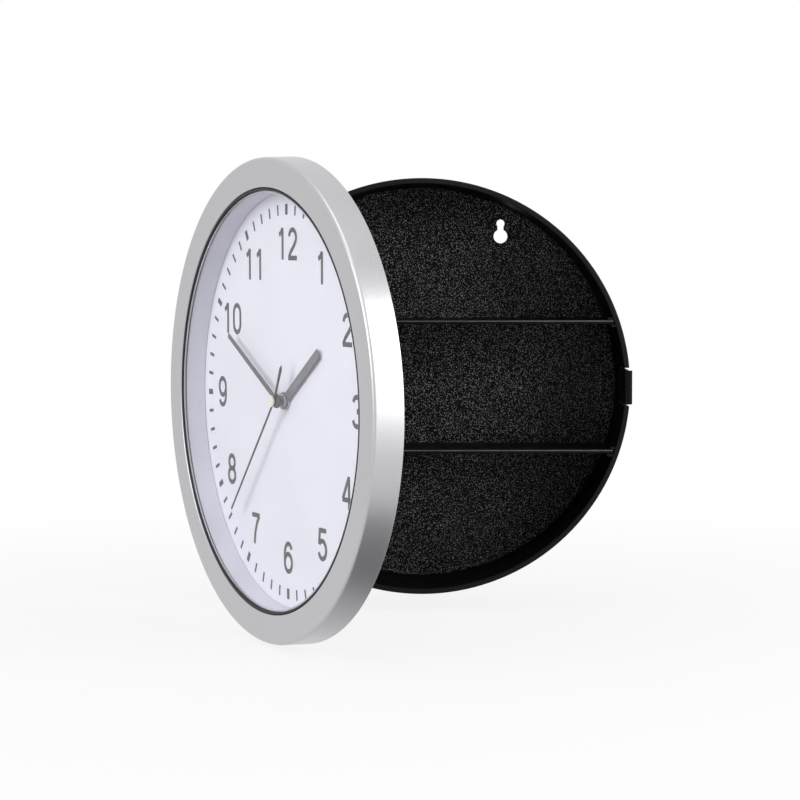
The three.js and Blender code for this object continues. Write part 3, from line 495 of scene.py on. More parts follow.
def pebbled(name, dark, light, depth, on_pan):
    """Black plastic with a pebble grain: on the floor of the pan, with a worn rim, or all over
    the lid's cover, with a worn outer edge. The share of pale colour, painted glints on the
    grain, is its upper part squared, times a slow drift, and a little wear at the edge."""
    f = Finish(name)
    pebbles = f.cells(0.8, "SMOOTH_F1", Smoothness=0.4)
    grit = f.noise(0.4, 2.0)
    drift = f.noise(38.0)
    height = f.span(pebbles, 0.15, 0.75, 1.0, 0.0) * 0.5 + grit * 0.5
    if on_pan:
        up = 0.0 - f.part("Y")
        out = f.length(f.coordinates(), ROUND)
        inside = f.rise(up, 2.0, 2.6) * (1 - f.rise(up, 5.0, 7.5)) * (1 - f.rise(out, 114.2, 115.5))
        height = (height - 0.4) * inside + 0.4
        edge = f.rise(up, 50.8, 51.8)
    else:
        edge = f.rise(f.from_axis(), 123.2, 124.1)
    edge = edge * (drift + 0.4)
    # Painted glints: the highest tops of the grain are painted pale, for the sparkle of light.
    painted_sparkle = f.span(height, 0.51, 0.74) ** 2
    share = (painted_sparkle * (drift + 0.4) + edge * 0.015).clamp()
    rough = f.span(height, 0.2, 0.9, 0.6, 0.36) - edge * 0.1
    coat = (share * 0.1 + edge * 0.02).clamp()
    return f.done(
        f.blend(share, dark, light), rough, f.bump(height, depth),
        Specular_IOR_Level=0.09, Coat_Weight=coat, Coat_Roughness=0.35,
    )


def satin_black(name, dark, light, rough=0.42, shine=0.4, front=None):
    """Smoother black plastic with faint flow marks. A shelf gets a painted highlight: a pale
    line along the upper edge of its front, half its thickness above its level."""
    f = Finish(name)
    flow = f.noise(9.0, 4.0, 0.6)
    colour = f.blend((flow * 0.7 + f.worn(0.505, 0.6) * 0.3).clamp(), dark, light)
    # Painted highlight: a thin pale line where light catches a shelf's upper front edge.
    if front is not None:
        level = (f.part("Z") - SHELF_THICK / 2 * MM).math("ABSOLUTE")
        off = (level - SHELF_LEVEL * MM).math("ABSOLUTE")
        painted_highlight = (1 - f.rise(off, 0.4, 0.7)) * (1 - f.rise(f.part("Y") - front, 0.4, 0.8))
        colour = f.blend((painted_highlight * (flow + 0.3)).clamp(), colour, (0.16, 0.16, 0.162))
    gloss = f.span(flow, 0.3, 0.7, rough - 0.07, rough + 0.1)
    return f.done(colour, gloss, f.bump(f.noise(0.35, 2.0), 0.02, 0.6), Specular_IOR_Level=shine)


box_plastic = pebbled("box_plastic", (0.0016, 0.0016, 0.002), (0.5, 0.5, 0.505), 0.12, True)
cover_plastic = pebbled("cover_plastic", (0.005, 0.005, 0.0055), (0.08, 0.08, 0.082), 0.06, False)
DEEP = (0.0015, 0.0015, 0.0019)
SOFT = (0.0045, 0.0045, 0.005)
SHELF_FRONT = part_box("upper_shelf")[0][1]
movement_plastic = satin_black("movement_plastic", (0.01, 0.01, 0.011), (0.026, 0.026, 0.028))
shelf_plastic = satin_black("shelf_plastic", DEEP, SOFT, 0.45, 0.08, SHELF_FRONT)
latch_plastic = satin_black("latch_plastic", DEEP, SOFT, 0.42, 0.08)

# %% [markdown]
# ## Silver paint
# The bezel is plastic sprayed silver: tiny metal flakes in a clear binder. It is neither a
# mirror nor grey paint, so it is part metal and satin. The flakes lie at slightly different
# angles, which a very fine bump gives. Spraying also leaves a faint orange peel, which breaks
# up the highlight on the side wall.

# %% Silver paint
def silver_paint(name):
    """Sprayed silver: flakes, orange peel, a slow drift of tone and paler edges."""
    f = Finish(name)
    shade = f.node("ShaderNodeSeparateColor", {0: f.cells(0.28, output="Color")})
    peel = f.noise(2.6, 2.0)
    drift = f.noise(46.0, 2.0)
    share = (shade * 0.45 + drift * 0.5).clamp()
    colour = f.blend(share, (0.47, 0.47, 0.49), (0.56, 0.56, 0.575))
    colour = f.blend(f.worn(0.52, 0.56) * 0.35, colour, (0.70, 0.70, 0.71))
    rough = f.span(drift, 0.3, 0.7, 0.27, 0.33) + shade * 0.05
    normal = f.bump(shade, 0.004, 0.7, f.bump(peel, 0.015, 0.5))
    return f.done(colour, rough, normal, Metallic=0.8)


bezel_silver = silver_paint("bezel_silver")

# %% [markdown]
# ## The pieces under the glass
# The ring between the dial and the glass is pale lavender grey plastic. The dial is a printed
# white sheet, a touch cool. Neither is quite even, so both have a slow change of tone and a
# very fine tooth, and so has the dark grey ink of the figures.

# %% Pale plastic, dial sheet and ink
def pale(name, one, other, grain, depth, rough):
    """A matt surface with a slow drift of tone and a fine tooth of grain millimetres."""
    f = Finish(name)
    drift = f.noise(30.0)
    tooth = f.noise(grain, 3.0, 0.6)
    colour = f.blend(f.span((drift * 0.7 + tooth * 0.3).clamp(), 0.3, 0.7), one, other)
    gloss = f.span(drift, 0.3, 0.7, rough - 0.06, rough + 0.06)
    return f.done(colour, gloss, f.bump(tooth, depth, 0.6))


reflector_plastic = pale("reflector_plastic", (0.59, 0.58, 0.66), (0.69, 0.68, 0.76), 0.8, 0.02, 0.5)
dial_paper = pale("dial_paper", (0.77, 0.76, 0.85), (0.82, 0.81, 0.89), 0.35, 0.012, 0.55)
figure_ink = pale("figure_ink", (0.02, 0.02, 0.022), (0.04, 0.04, 0.042), 0.5, 0.01, 0.5)
mark_ink = pale("mark_ink", (0.014, 0.014, 0.017), (0.03, 0.03, 0.033), 0.5, 0.01, 0.5)

# %% [markdown]
# ## Glass
# The lens is one flat pane, two millimetres thick, with a ground edge. A flat pane only moves
# what is behind it aside by a millimetre, and the heights of dial and hands were read off the
# photograph through the real pane, so that shift is in them already. The glass here therefore
# bends nothing, and its gloss is a clear coat. In a path tracer the light of lamps can't find
# its way through glass, so for shadow rays it is transparent. A little unevenness in the
# roughness stands for the marks of cleaning. The pane's rim is ground, which leaves it white
# and matt, and that white also stands for the glint on the glass's edge, a painted highlight:
# that is the pale line inside the bezel.

# %% Clear glass
GROUND_FROM = 108.8
GROUND_ABOVE = 14.1
BLUR = 0.02


def clear_glass(name):
    """A flat pane: it bends nothing, mirrors a little and lets the lamps through. Outside a
    radius and above a height it is ground and white, partly a painted highlight."""
    f = Finish(name)
    smear = f.span(f.noise(24.0, 4.0, 0.6), 0.45, 0.75, 0.0, 0.03)
    glass = f.surface(
        Base_Color=(0.975, 0.98, 0.985), Roughness=smear, Transmission_Weight=1.0, IOR=1.001,
        Coat_Weight=0.45, Coat_Roughness=0.02, Coat_IOR=1.45,
    )
    through = f.node("ShaderNodeBsdfTransparent", {0: opaque((0.97, 0.975, 0.98))})
    clear = f.node("ShaderNodeMixShader", {0: f.ray("Shadow"), 1: glass, 2: through})
    up = 0.0 - f.part("Y", f.lid())
    # The ground rim: white and matt, and partly a painted highlight on the glass's edge.
    outside = f.rise(f.from_axis(), GROUND_FROM - BLUR, GROUND_FROM + BLUR)
    above = f.rise(up, GROUND_ABOVE - BLUR, GROUND_ABOVE + BLUR)
    tooth = f.noise(0.25, 2.0)
    matt = f.surface(
        Base_Color=f.blend(tooth, (0.86, 0.87, 0.88), (0.93, 0.94, 0.95)), Roughness=0.55,
        Transmission_Weight=0.6, IOR=1.45, Normal=f.bump(tooth, 0.02, 0.6),
    )
    return f.show(f.node("ShaderNodeMixShader", {0: outside * above, 1: clear, 2: matt}))


lens_glass = clear_glass("lens_glass")


# %% Rubber
def rubber(name):
    """Black rubber: dull, with a fine talc bloom."""
    f = Finish(name)
    bloom = f.noise(3.0, 4.0, 0.6)
    colour = f.blend(f.span(bloom, 0.4, 0.75), (0.007, 0.007, 0.009), (0.022, 0.022, 0.026))
    normal = f.bump(f.noise(0.3, 2.0), 0.02, 0.7)
    return f.done(colour, f.span(bloom, 0.3, 0.7, 0.5, 0.68), normal)


gasket_rubber = rubber("gasket_rubber")

# %% [markdown]
# ## Metals and small plastics
# The screws and the pin are plated steel, the bush is turned brass, the coil is copper wire.
# One function makes them all: a colour that drifts, a fine streak from noise whose
# coordinates are stretched along one direction, and brighter edges. The hands are thin sheet,
# painted grey, with collars that are bare round the middle. The minute hand's grey is painted
# darker than the hour hand's: painted shade. The needle is painted black.

# %% Metals
def metal(name, one, other, rough, metallic=1.0, streak=(1.0, 1.0, 1.0)):
    """Worked metal. The noise is stretched along the directions where streak is large."""
    f = Finish(name)
    lines = f.noise(0.22, 3.0, 0.6, f.lid(streak))
    drift = f.noise(12.0)
    colour = f.blend((lines * 0.4 + drift * 0.5).clamp(), one, other)
    colour = f.blend(f.worn() * 0.6, colour, other)
    gloss = f.span(lines, 0.3, 0.7, rough - 0.05, rough + 0.08) + drift * 0.05
    return f.done(colour, gloss, f.bump(lines, 0.006, 0.5), Metallic=metallic)


ALONG_Z = (1.0, 1.0, 60.0)
plated_steel = metal("plated_steel", (0.42, 0.42, 0.44), (0.58, 0.58, 0.6), 0.3, 1.0, ALONG_Z)
turned_brass = metal("turned_brass", (0.52, 0.37, 0.15), (0.66, 0.5, 0.24), 0.28)
winding = metal("winding", (0.32, 0.1, 0.035), (0.46, 0.17, 0.06), 0.35)
magnet_grey = metal("magnet_grey", (0.05, 0.05, 0.055), (0.09, 0.09, 0.095), 0.45, 0.6)
cap_plastic = pale("cap_plastic", (0.76, 0.72, 0.58), (0.83, 0.8, 0.67), 0.6, 0.01, 0.4)
nylon = pale("nylon", (0.74, 0.73, 0.68), (0.83, 0.82, 0.77), 0.7, 0.01, 0.42)
grey_acetal = pale("grey_acetal", (0.16, 0.155, 0.15), (0.22, 0.215, 0.21), 0.7, 0.01, 0.4)


# %% Painted hands
def painted(name, one, other, bare_radius=0.0, bare=None):
    """Paint on sheet, darker along the edges. A collar can be bare inside a radius."""
    f = Finish(name)
    cloud = f.noise(5.0)
    tooth = f.noise(0.3, 3.0, 0.6)
    colour = f.blend((cloud * 0.7 + tooth * 0.3).clamp(), one, other)
    colour = f.blend(f.worn() * 0.5, colour, one)
    if bare is not None:
        outside = f.rise(f.from_axis(), bare_radius - 0.15, bare_radius + 0.15)
        colour = f.blend(outside, bare, colour)
    gloss = f.span(cloud, 0.3, 0.7, 0.4, 0.52)
    return f.done(colour, gloss, f.bump(tooth, 0.006, 0.5), Specular_IOR_Level=0.25)


hour_paint = painted("hour_paint", (0.14, 0.138, 0.155), (0.21, 0.207, 0.228), 4.0, (0.5, 0.5, 0.53))
# Painted shade: the minute hand has the hour hand's grey paint, painted darker.
minute_paint_shaded = painted(
    "minute_paint_shaded", (0.075, 0.073, 0.078), (0.115, 0.112, 0.12), 3.1, (0.24, 0.235, 0.22)
)
needle_paint = painted("needle_paint", (0.004, 0.0035, 0.0045), (0.009, 0.008, 0.01))


# %% Battery sleeve and circuit board
SLEEVE_HALF = 22.7


def sleeve(name):
    """A blue sleeve on a metal can, bare at both ends. The cell lies along the lid's x."""
    f = Finish(name)
    along = f.part("X", f.lid()).math("ABSOLUTE")
    bare = f.rise(along, SLEEVE_HALF, SLEEVE_HALF + 0.1)
    drift = f.noise(6.0)
    blue = f.blend(drift, (0.03, 0.09, 0.25), (0.05, 0.13, 0.33))
    colour = f.blend(bare, blue, (0.55, 0.55, 0.57))
    gloss = f.span(drift, 0.3, 0.7, 0.24, 0.36)
    return f.done(colour, gloss, f.bump(f.noise(1.4, 2.0), 0.01, 0.4), Metallic=bare)


def board(name):
    """Green lacquer over copper tracks, which show as faint paler lines."""
    f = Finish(name)
    line = f.span(f.cells(2.4, "DISTANCE_TO_EDGE"), 0.04, 0.09, 1.0, 0.0)
    weave = f.noise(0.6)
    green = f.blend(weave, (0.018, 0.08, 0.035), (0.03, 0.12, 0.055))
    colour = f.blend(line * 0.6, green, (0.07, 0.22, 0.09))
    return f.done(colour, f.span(weave, 0.3, 0.7, 0.3, 0.45), f.bump(line, 0.03, 0.5))


cell_sleeve = sleeve("cell_sleeve")
green_board = board("green_board")

# %% [markdown]
# ## The box
# A shallow pan with a little draft, so that it comes out of its mould: the wall leans out by
# under two degrees, and the floor meets it in a soft corner. Ribs for the shelves and three
# hinge knuckles are joined to it. The window of the latch and two keyholes are cut out.

# %% Box pan
BOX_WALL = 3.0
BOX_FLOOR = 3.0
BOX_BACK = 117.5

pan = lathe("box_shell", rounded([
    (0, 0), (80.0, 0), (109.0, 0), (BOX_BACK, 0, 3.0),
    (BOX_RADIUS, BOX_DEPTH, 0.7), (BOX_RADIUS - BOX_WALL, BOX_DEPTH, 0.5),
    (BOX_BACK - BOX_WALL, BOX_FLOOR, 3.0), (109.0, BOX_FLOOR), (80.0, BOX_FLOOR), (0, BOX_FLOOR),
]), on_box)

# %% Ribs that hold the shelves
SHELF_SLACK = 0.2
RIB = 1.5
RIB_REACH = 3.0

ribs = []
for side in (-1, 1):
    for level in (-SHELF_LEVEL, SHELF_LEVEL):
        for face in (-1, 1):
            near = level + face * (SHELF_THICK / 2 + SHELF_SLACK)
            far = near + face * RIB
            wall = np.sqrt((BOX_RADIUS - BOX_WALL) ** 2 - far**2)
            ends = sorted((side * (wall - RIB_REACH), side * (wall + BOX_WALL / 3)))
            low = (ends[0], BOX_FLOOR / 2, min(near, far))
            high = (ends[1], BOX_DEPTH - 0.5, max(near, far))
            ribs.append(block(low, high, on_box))
print("ribs", len(ribs))


# %% Hinge knuckles
KNUCKLE = 3.2
PIN_HOLE = 1.5
BOX_KNUCKLE = 8.0
LID_KNUCKLE = 9.4
PITCH = 18.0
HINGE_HEIGHT = BOX_DEPTH - HINGE_BACK


def hull(outline, middle, length, put):
    """The smallest solid round a set of points (x, height), repeated at two levels of z."""
    x, height = np.array(outline, float).T
    levels = (middle - length / 2, middle + length / 2)
    work = opened(np.concatenate([put(x, height, z) for z in levels]), [])
    found = bmesh.ops.convex_hull(work, input=work.verts)
    bmesh.ops.delete(work, geom=found["geom_interior"], context="VERTS")
    bmesh.ops.dissolve_limit(work, angle_limit=0.002, verts=work.verts, edges=work.edges)
    bmesh.ops.recalc_face_normals(work, faces=work.faces)
    return finished("hull", work)


def ring(radius, height, count=48):
    """A circle round the hinge's pin, in x and height."""
    angle = np.linspace(0, 2 * np.pi, count, endpoint=False)
    return np.stack([HINGE_X + radius * np.cos(angle), height + radius * np.sin(angle)], -1)


lugs = []
root = -BOX_RADIUS + BOX_WALL / 2
for level in (-PITCH, 0.0, PITCH):
    foot = [(root, HINGE_HEIGHT - 9.0), (root, HINGE_HEIGHT + KNUCKLE / 2)]
    outline = np.concatenate([ring(KNUCKLE, HINGE_HEIGHT), foot])
    lugs.append(hull(outline, level, BOX_KNUCKLE, on_box))
combine(pan, ribs, "UNION")
combine(pan, lugs, "UNION")

# %% Keyholes, latch window and the pin's bore
KEYHOLE_X = 46.62
KEYHOLE_Z = 85.86
KEYHOLE_TOP = KEYHOLE_Z + 7.5
HEAD = 4.1
SEAT = 2.4
NECK = 1.8
LATCH_WINDOW = ((112.8, 29.7, -11.0), (122.0, 53.0, 11.0))

cuts = []
for x in (-KEYHOLE_X, KEYHOLE_X):
    head = drill(HEAD, -1, 4, on_box, HUB, (x, KEYHOLE_Z))
    seat = drill(SEAT, -1, 4, on_box, SMALL, (x, KEYHOLE_TOP))
    neck = block((x - NECK, -1, KEYHOLE_Z), (x + NECK, 4, KEYHOLE_TOP), on_box)
    combine(head, [neck], "UNION")
    combine(head, [seat], "UNION")
    cuts.append(head)
cuts.append(block(*LATCH_WINDOW, on_box))
cuts.append(hull(ring(PIN_HOLE, HINGE_HEIGHT, SMALL), 0, 2 * (PITCH + BOX_KNUCKLE), on_box))
combine(pan, cuts, "DIFFERENCE")
place(pan, "box", "box_plastic", box_plastic, "back_box")

# %% [markdown]
# ## The lid's back
# A flat disc closes the lid from behind. It carries the movement in the middle, a low ring
# that centres the dial, two hinge knuckles on the left and a slot for the latch on the right.

# %% Rear cover
COVER_LOW = 0.4
COVER_TOP = 1.5
COVER_RADIUS = 124.2
BUSH_HOLE = 3.5
SCREW_CIRCLE = 121.6
SCREW_HOLE = 1.3
LATCH_SLOT = ((113.8, -1, -10.25), (120.4, 5, 10.25))
screw_places = [
    (SCREW_CIRCLE * np.cos(a), SCREW_CIRCLE * np.sin(a)) for a in np.radians([45, 135, 225, 315])
]

cover = lathe("cover_plate", rounded([
    (BUSH_HOLE, COVER_LOW), (60.0, COVER_LOW), (118.5, COVER_LOW),
    (COVER_RADIUS, COVER_LOW, 0.4), (COVER_RADIUS, COVER_TOP, 0.3), (114.4, COVER_TOP),
    (114.4, 3.2, 0.3), (112.9, 3.2, 0.3), (112.9, COVER_TOP), (BUSH_HOLE, COVER_TOP),
]), on_lid)

arms = []
for level in (-PITCH / 2, PITCH / 2):
    edge_x = 0.3 - np.sqrt(COVER_RADIUS**2 - (abs(level) + LID_KNUCKLE / 2) ** 2)
    inner_x = HINGE_X + KNUCKLE
    arm = hull([
        (edge_x, COVER_TOP - 0.5),
        (edge_x, -HINGE_BACK),
        (inner_x, -HINGE_BACK),
        (inner_x, COVER_TOP - 0.5),
    ], level, LID_KNUCKLE, on_lid)
    combine(arm, [hull(ring(KNUCKLE, -HINGE_BACK), level, LID_KNUCKLE, on_lid)], "UNION")
    arms.append(arm)
combine(cover, arms, "UNION")

holes = [drill(SCREW_HOLE, -1, 5, on_lid, SMALL, at) for at in screw_places]
holes.append(block(*LATCH_SLOT, on_lid))
holes.append(hull(ring(PIN_HOLE, -HINGE_BACK, SMALL), 0, 2 * PITCH, on_lid))
combine(cover, holes, "DIFFERENCE")
place(cover, "lid", "box_plastic", cover_plastic, "rear_cover")

# %% [markdown]
# ## The bezel
# One silver moulding: a side wall with a little draft, a soft outer edge, a face that dips
# three tenths of a millimetre towards the glass, and a flange that holds the seal. The seal
# is a plain black ring round the glass, and the pale reflector reaches up to the pane.

# %% Bezel
bezel = lathe("bezel_shell", rounded([
    (127.6, 0, 0.4), (127.0, 16.5, 1.62), (111.4, 16.2, 0.8), (111.4, 10.5, 0.3),
    (113.4, 10.5, 0.3), (113.4, 14.0), (124.5, 14.0, 0.5), (124.5, 0, 0.4),
], 7), on_lid, 300)
tube = [(SCREW_HOLE, 2.2), (3.2, 2.2), (3.2, 15.2), (SCREW_HOLE, 15.2)]
bosses = [lathe("boss", tube, on_lid, SMALL, at) for at in screw_places]
combine(bezel, bosses, "UNION")
place(bezel, "lid", "silver_plastic", bezel_silver, "bezel")

# %% Seal, glass and reflector ring
seal = lathe("seal_ring", rounded([
    (111.1, 11.8), (111.1, 16.0, 0.35), (109.9, 16.0, 0.35),
    (109.9, 13.5, 0.1), (110.4, 13.5), (110.4, 11.8),
]), on_lid)
place(seal, "lid", "black_rubber", gasket_rubber, "lens_gasket")

pane = lathe("glass_pane", rounded([
    (0, 13.4), (109.6, 13.4, 0.25), (109.6, 14.6, 0.1),
    (108.8, 15.4, 0.15), (0, 15.4),
]), on_lid)
place(pane, "lid", "clear_glass", lens_glass, "glass_lens")

wall = lathe("reflector_wall", rounded([
    (109.0, 2.5, 0.1), (112.6, 2.5, 0.2), (112.6, 3.7, 0.2), (110.8, 3.7),
    (110.8, 11.5), (110.2, 11.5), (110.2, 13.3, 0.1), (109.3, 13.3, 0.3),
]), on_lid)
place(wall, "lid", "pale_plastic", reflector_plastic, "reflector_ring")

# %% [markdown]
# ## The dial and its print
# The sheet is a thin disc. The print could be a picture, but a picture goes soft close up and
# this lesson uses none. Each figure is drawn as a pen would draw it: a centre line of arcs
# and straights, and a nib of one width carried along it. A Solidify modifier gives the ink a
# body. Figures and marks stand where the photograph has them, a little off the true circle.

# %% Dial sheet
DIAL_BACK = 1.8
DIAL_TOP = 2.2
sheet = lathe("dial_sheet", rounded([
    (BUSH_HOLE, DIAL_BACK), (112.6, DIAL_BACK, 0.1), (112.6, DIAL_TOP, 0.1), (BUSH_HOLE, DIAL_TOP),
]), on_lid)
place(sheet, "lid", "dial_sheet", dial_paper, "dial")


# %% Centre lines of the figures
def arc(x, z, half_width, half_height, start, end, steps=22):
    """Points on an ellipse, from one angle in degrees to another."""
    angle = np.radians(np.linspace(start, end, steps))
    return np.stack([x + half_width * np.cos(angle), z + half_height * np.sin(angle)], -1)


def line(*points):
    return np.array(points, float)


HALF = 4.35
FIGURES = {
    "0": [np.concatenate([
        arc(0, 2.6, HALF, 4.8, 0, 180), arc(0, -2.6, HALF, 4.8, 180, 360), [(HALF, 2.6)],
    ])],
    "1": [line((1.1, -8.3), (1.1, 8.3)), line((-3.1, 4.6), (-1.2, 5.6), (0.2, 6.8), (0.9, 8.2))],
    "2": [
        np.concatenate([
            arc(0, 3.3, 4.2, 4.05, 172, -28),
            line((1.6, -1.0), (-2.4, -4.3), (-4.0, -6.4), (-4.3, -7.4)),
        ]),
        line((-5.3, -7.35), (5.2, -7.35)),
    ],
    "3": [arc(-0.2, 3.75, 3.8, 3.6, 165, -88), arc(0, -3.55, HALF, 3.8, 92, -168)],
    "4": [
        line((1.9, 8.0), (-4.9, -3.4)), line((-5.4, -3.55), (5.4, -3.55)), line((2.1, 8.3), (2.1, -8.3)),
    ],
    "5": [
        line((-3.0, 7.35), (4.4, 7.35)), line((-2.7, 8.2), (-3.9, -0.1)),
        arc(-0.1, -2.7, 4.4, 4.65, 143, -160),
    ],
    "6": [
        arc(0, -2.75, HALF, 4.6, 0, 360, 36),
        np.concatenate([arc(0.2, 1.6, 4.55, 5.75, 32, 180), line((-HALF, -2.75))]),
    ],
    "7": [line((-4.9, 7.35), (5.0, 7.35)), line((4.6, 7.2), (1.6, 3.4), (-0.6, -1.8), (-1.7, -8.3))],
    "8": [arc(0, 3.85, 3.75, 3.5, 0, 360, 36), arc(0, -3.5, HALF, 3.85, 0, 360, 36)],
}
FIGURES["9"] = [-stroke for stroke in FIGURES["6"]]
NIB = 2.5
LETTER_STEP = 13.4
PRINT_UP = 0.04
PRINT_DOWN = 0.02


# %% A nib carried along a line
def ribbon(centre, width):
    """A strip along a centre line: at each point, half the width to either side, square to
    the line there, and longer in a corner so that the strip keeps its width."""
    leg = unit(np.diff(centre, axis=0))
    before = np.concatenate([leg[:1], leg])
    after = np.concatenate([leg, leg[-1:]])
    along = unit(before + after)
    aside = np.stack([-along[:, 1], along[:, 0]], -1)
    spread = 1 / np.maximum(np.abs(np.sum(along * after, 1)), 0.5)
    half = aside * (spread * width / 2)[:, None]
    return centre + half, centre - half


def printed(name, strips, material):
    """One piece of print from strips, each a left and a right edge in x and z."""
    points = []
    faces = []
    start = 0
    for left, right in strips:
        count = len(left)
        flat = np.concatenate([left, right])
        points.append(on_lid(flat[:, 0], DIAL_TOP + PRINT_UP, flat[:, 1]))
        here = start + np.arange(count - 1)
        quads = np.stack([here, here + 1, here + 1 + count, here + count], -1)
        faces.extend(quads.tolist())
        start += 2 * count
    front = Vector(on_lid(0, 1, 0) - hub)
    work = opened(np.concatenate(points), faces)
    wrong = [face for face in work.faces if face.normal.dot(front) < 0]
    bmesh.ops.reverse_faces(work, faces=wrong)
    obj = finished(name, work)
    body = obj.modifiers.new("ink", "SOLIDIFY")
    body.thickness = (PRINT_UP + PRINT_DOWN) * MM
    body.offset = -1.0
    apply_modifiers(obj)
    place(obj, "lid", "dial_sheet", material)


FIGURE_RING = 82.2
ASIDE = {
    1: (0.3, -1.2), 2: (-0.1, -1.4), 3: (-0.8, -0.6), 4: (-0.9, -0.8), 5: (0.7, -0.1), 6: (0.7, -0.7),
    7: (0.5, -0.8), 8: (-1.0, -1.1), 9: (-2.1, 0.0), 10: (0.5, 0.0), 11: (0.2, -0.1), 12: (1.0, 0.0),
}
strips = []
for hour in range(1, 13):
    turn = np.radians(30 * hour)
    middle = np.array([FIGURE_RING * np.sin(turn), FIGURE_RING * np.cos(turn)]) + ASIDE[hour]
    text = str(hour)
    for index, letter in enumerate(text):
        aside = (index - (len(text) - 1) / 2) * LETTER_STEP
        for stroke in FIGURES[letter]:
            strips.append(ribbon(stroke + middle + [aside, 0.0], NIB))
printed("dial_figures", strips, figure_ink)

# %% Minute marks
MARK_IN = 98.4
MARK_OUT = 104.0
MARK_MIDDLE = (0.3, -1.0)
MARK_WIDTH = 1.7
HOUR_MARK_WIDTH = 3.0
marks = []
for minute in range(60):
    turn = np.radians(6 * minute)
    out = np.array([np.sin(turn), np.cos(turn)])
    width = MARK_WIDTH if minute % 5 else HOUR_MARK_WIDTH
    marks.append(ribbon(np.stack([out * MARK_IN, out * MARK_OUT]) + MARK_MIDDLE, width))
printed("dial_marks", marks, mark_ink)

# %% [markdown]
# ## The hands
# Hour and minute hand are bars of painted sheet on a small turned collar that grips its tube.
# The second hand is a needle with a short tail, held by a cream cap. A bar is a flat outline
# with softened edges. The bore goes through bar and collar, for the tubes of the wheels.

# %% Hands
FILM = 0.02


def pointed(outline, degrees):
    """An outline that points to twelve, turned clockwise."""
    angle = np.radians(degrees)
    outline = np.array(outline, float)
    x = outline[:, 0] * np.cos(angle) + outline[:, 1] * np.sin(angle)
    z = -outline[:, 0] * np.sin(angle) + outline[:, 1] * np.cos(angle)
    return np.stack([x, z], -1)


def bar(root_width, tip_width, length, corner):
    """The outline of a bar hand, with rounded corners at its tip."""
    return rounded([
        (-root_width / 2, 0),
        (root_width / 2, 0),
        (tip_width / 2, length, corner),
        (-tip_width / 2, length, corner),
    ], 4)


def hand(name, node, body, slot, paint, outline, degrees, low, thick, collar, collar_top, bore):
    """A blade joined to its turned collar. The blade is cut away inside the collar first, and
    is a film thinner than the collar, so that no two of their faces lie in one plane."""
    outline = pointed(outline, degrees)
    blade = plate(name, outline, low + FILM, low + thick - FILM, on_lid, thick / 5)
    hole = drill((bore + collar) / 2, low - 1, collar_top + 1, on_lid)
    combine(blade, [hole], "DIFFERENCE")
    soft = min(0.3, (collar_top - low) / 4)
    rim = rounded([
        (bore, low),
        (collar, low, soft / 2),
        (collar, collar_top, soft),
        (bore, collar_top),
    ], 4)
    combine(blade, [lathe("collar", rim, on_lid, HUB)], "UNION")
    place(blade, body, slot, paint, node)


hand(
    "hour_bar", "hour_hand", "hour_work", "hand_metal", hour_paint,
    outline=bar(5.3, 5.3, 49.5, 0.9), degrees=57.0,
    low=3.8, thick=0.5, collar=4.5, collar_top=5.1, bore=2.6,
)
hand(
    "minute_bar", "minute_hand", "minute_work", "hand_metal", minute_paint_shaded,
    outline=bar(3.2, 2.7, 71.0, 0.7), degrees=297.0,
    low=7.6, thick=0.5, collar=3.7, collar_top=9.2, bore=1.8,
)
TAIL_BEND = -16.0
tail = pointed([(0.8, 0), (1.4, -19), (0, -21.5), (-1.4, -19), (-0.8, 0)], TAIL_BEND)
needle = np.concatenate([tail[1:4], [(-0.8, 0), (-0.7, 84), (0.7, 84), (0.8, 0)]])
hand(
    "second_needle", "second_hand", "second_work", "needle_metal", needle_paint,
    outline=needle, degrees=222.0,
    low=9.6, thick=0.3, collar=2.5, collar_top=9.9, bore=1.0,
)
button = lathe("cap_button", rounded([
    (0, 10.2), (1.8, 10.2), (1.8, 11.1, 0.2),
    (3.0, 11.1, 0.2), (3.0, 12.0, 0.4), (0, 12.0),
]), on_lid, HUB)
combine(button, [drill(1.0, 9, 11.4, on_lid)], "DIFFERENCE")
place(button, "second_work", "cap_plastic", cap_plastic, "second_hand_cap")

# %% [markdown]
# ## Screws and battery
# Four small screws with a cross recess hold the cover to the bezel. The cell is a turned can
# with its nub, in a plain sleeve.

# %% Screws
CROSS_REACH = 1.3
CROSS_HALF = 0.22
turned_screw = rounded([
    (0, -1.3), (2.3, -1.3, 0.7), (2.3, 0.1, 0.1), (1, 0.1), (1, 8, 0.2), (0, 9),
], 4)

for index, (x, z) in enumerate(screw_places):
    screw = lathe(f"screw_{index + 1}", turned_screw, on_lid, SMALL, (x, z))
    for wide, tall in ((CROSS_REACH, CROSS_HALF), (CROSS_HALF, CROSS_REACH)):
        cut = block((x - wide, -2, z - tall), (x + wide, -0.6, z + tall), on_lid)
        combine(screw, [cut], "DIFFERENCE")
    place(screw, "lid", "steel", plated_steel, f"cover_screw_{index + 1}")

# %% Battery
CELL_HEIGHT = -11.05
CELL_Z = -18.7
CELL_HALF = 25.25


def along_x(x, height, z):
    """A turned solid laid along the lid's x, so that its nub looks to the right."""
    return on_lid(height - CELL_HALF, CELL_HEIGHT + x, CELL_Z + z)


cell = lathe("battery_cell", rounded([
    (0, 0), (7.25, 0, 0.6), (7.25, 49.5, 0.6),
    (2.75, 49.5), (2.75, 50.5, 0.3), (0, 50.5),
]), along_x, 96)
place(cell, "lid", "battery_skin", cell_sleeve, "battery")

# %% [markdown]
# ## Pieces kept as they are
# Everything else keeps its solid, a mesh of loose triangles with hard edges. Two modifiers
# finish it without touching the mesh: Weld joins the triangles, and Bevel gives each edge the
# small radius that a real moulding or pressing has.

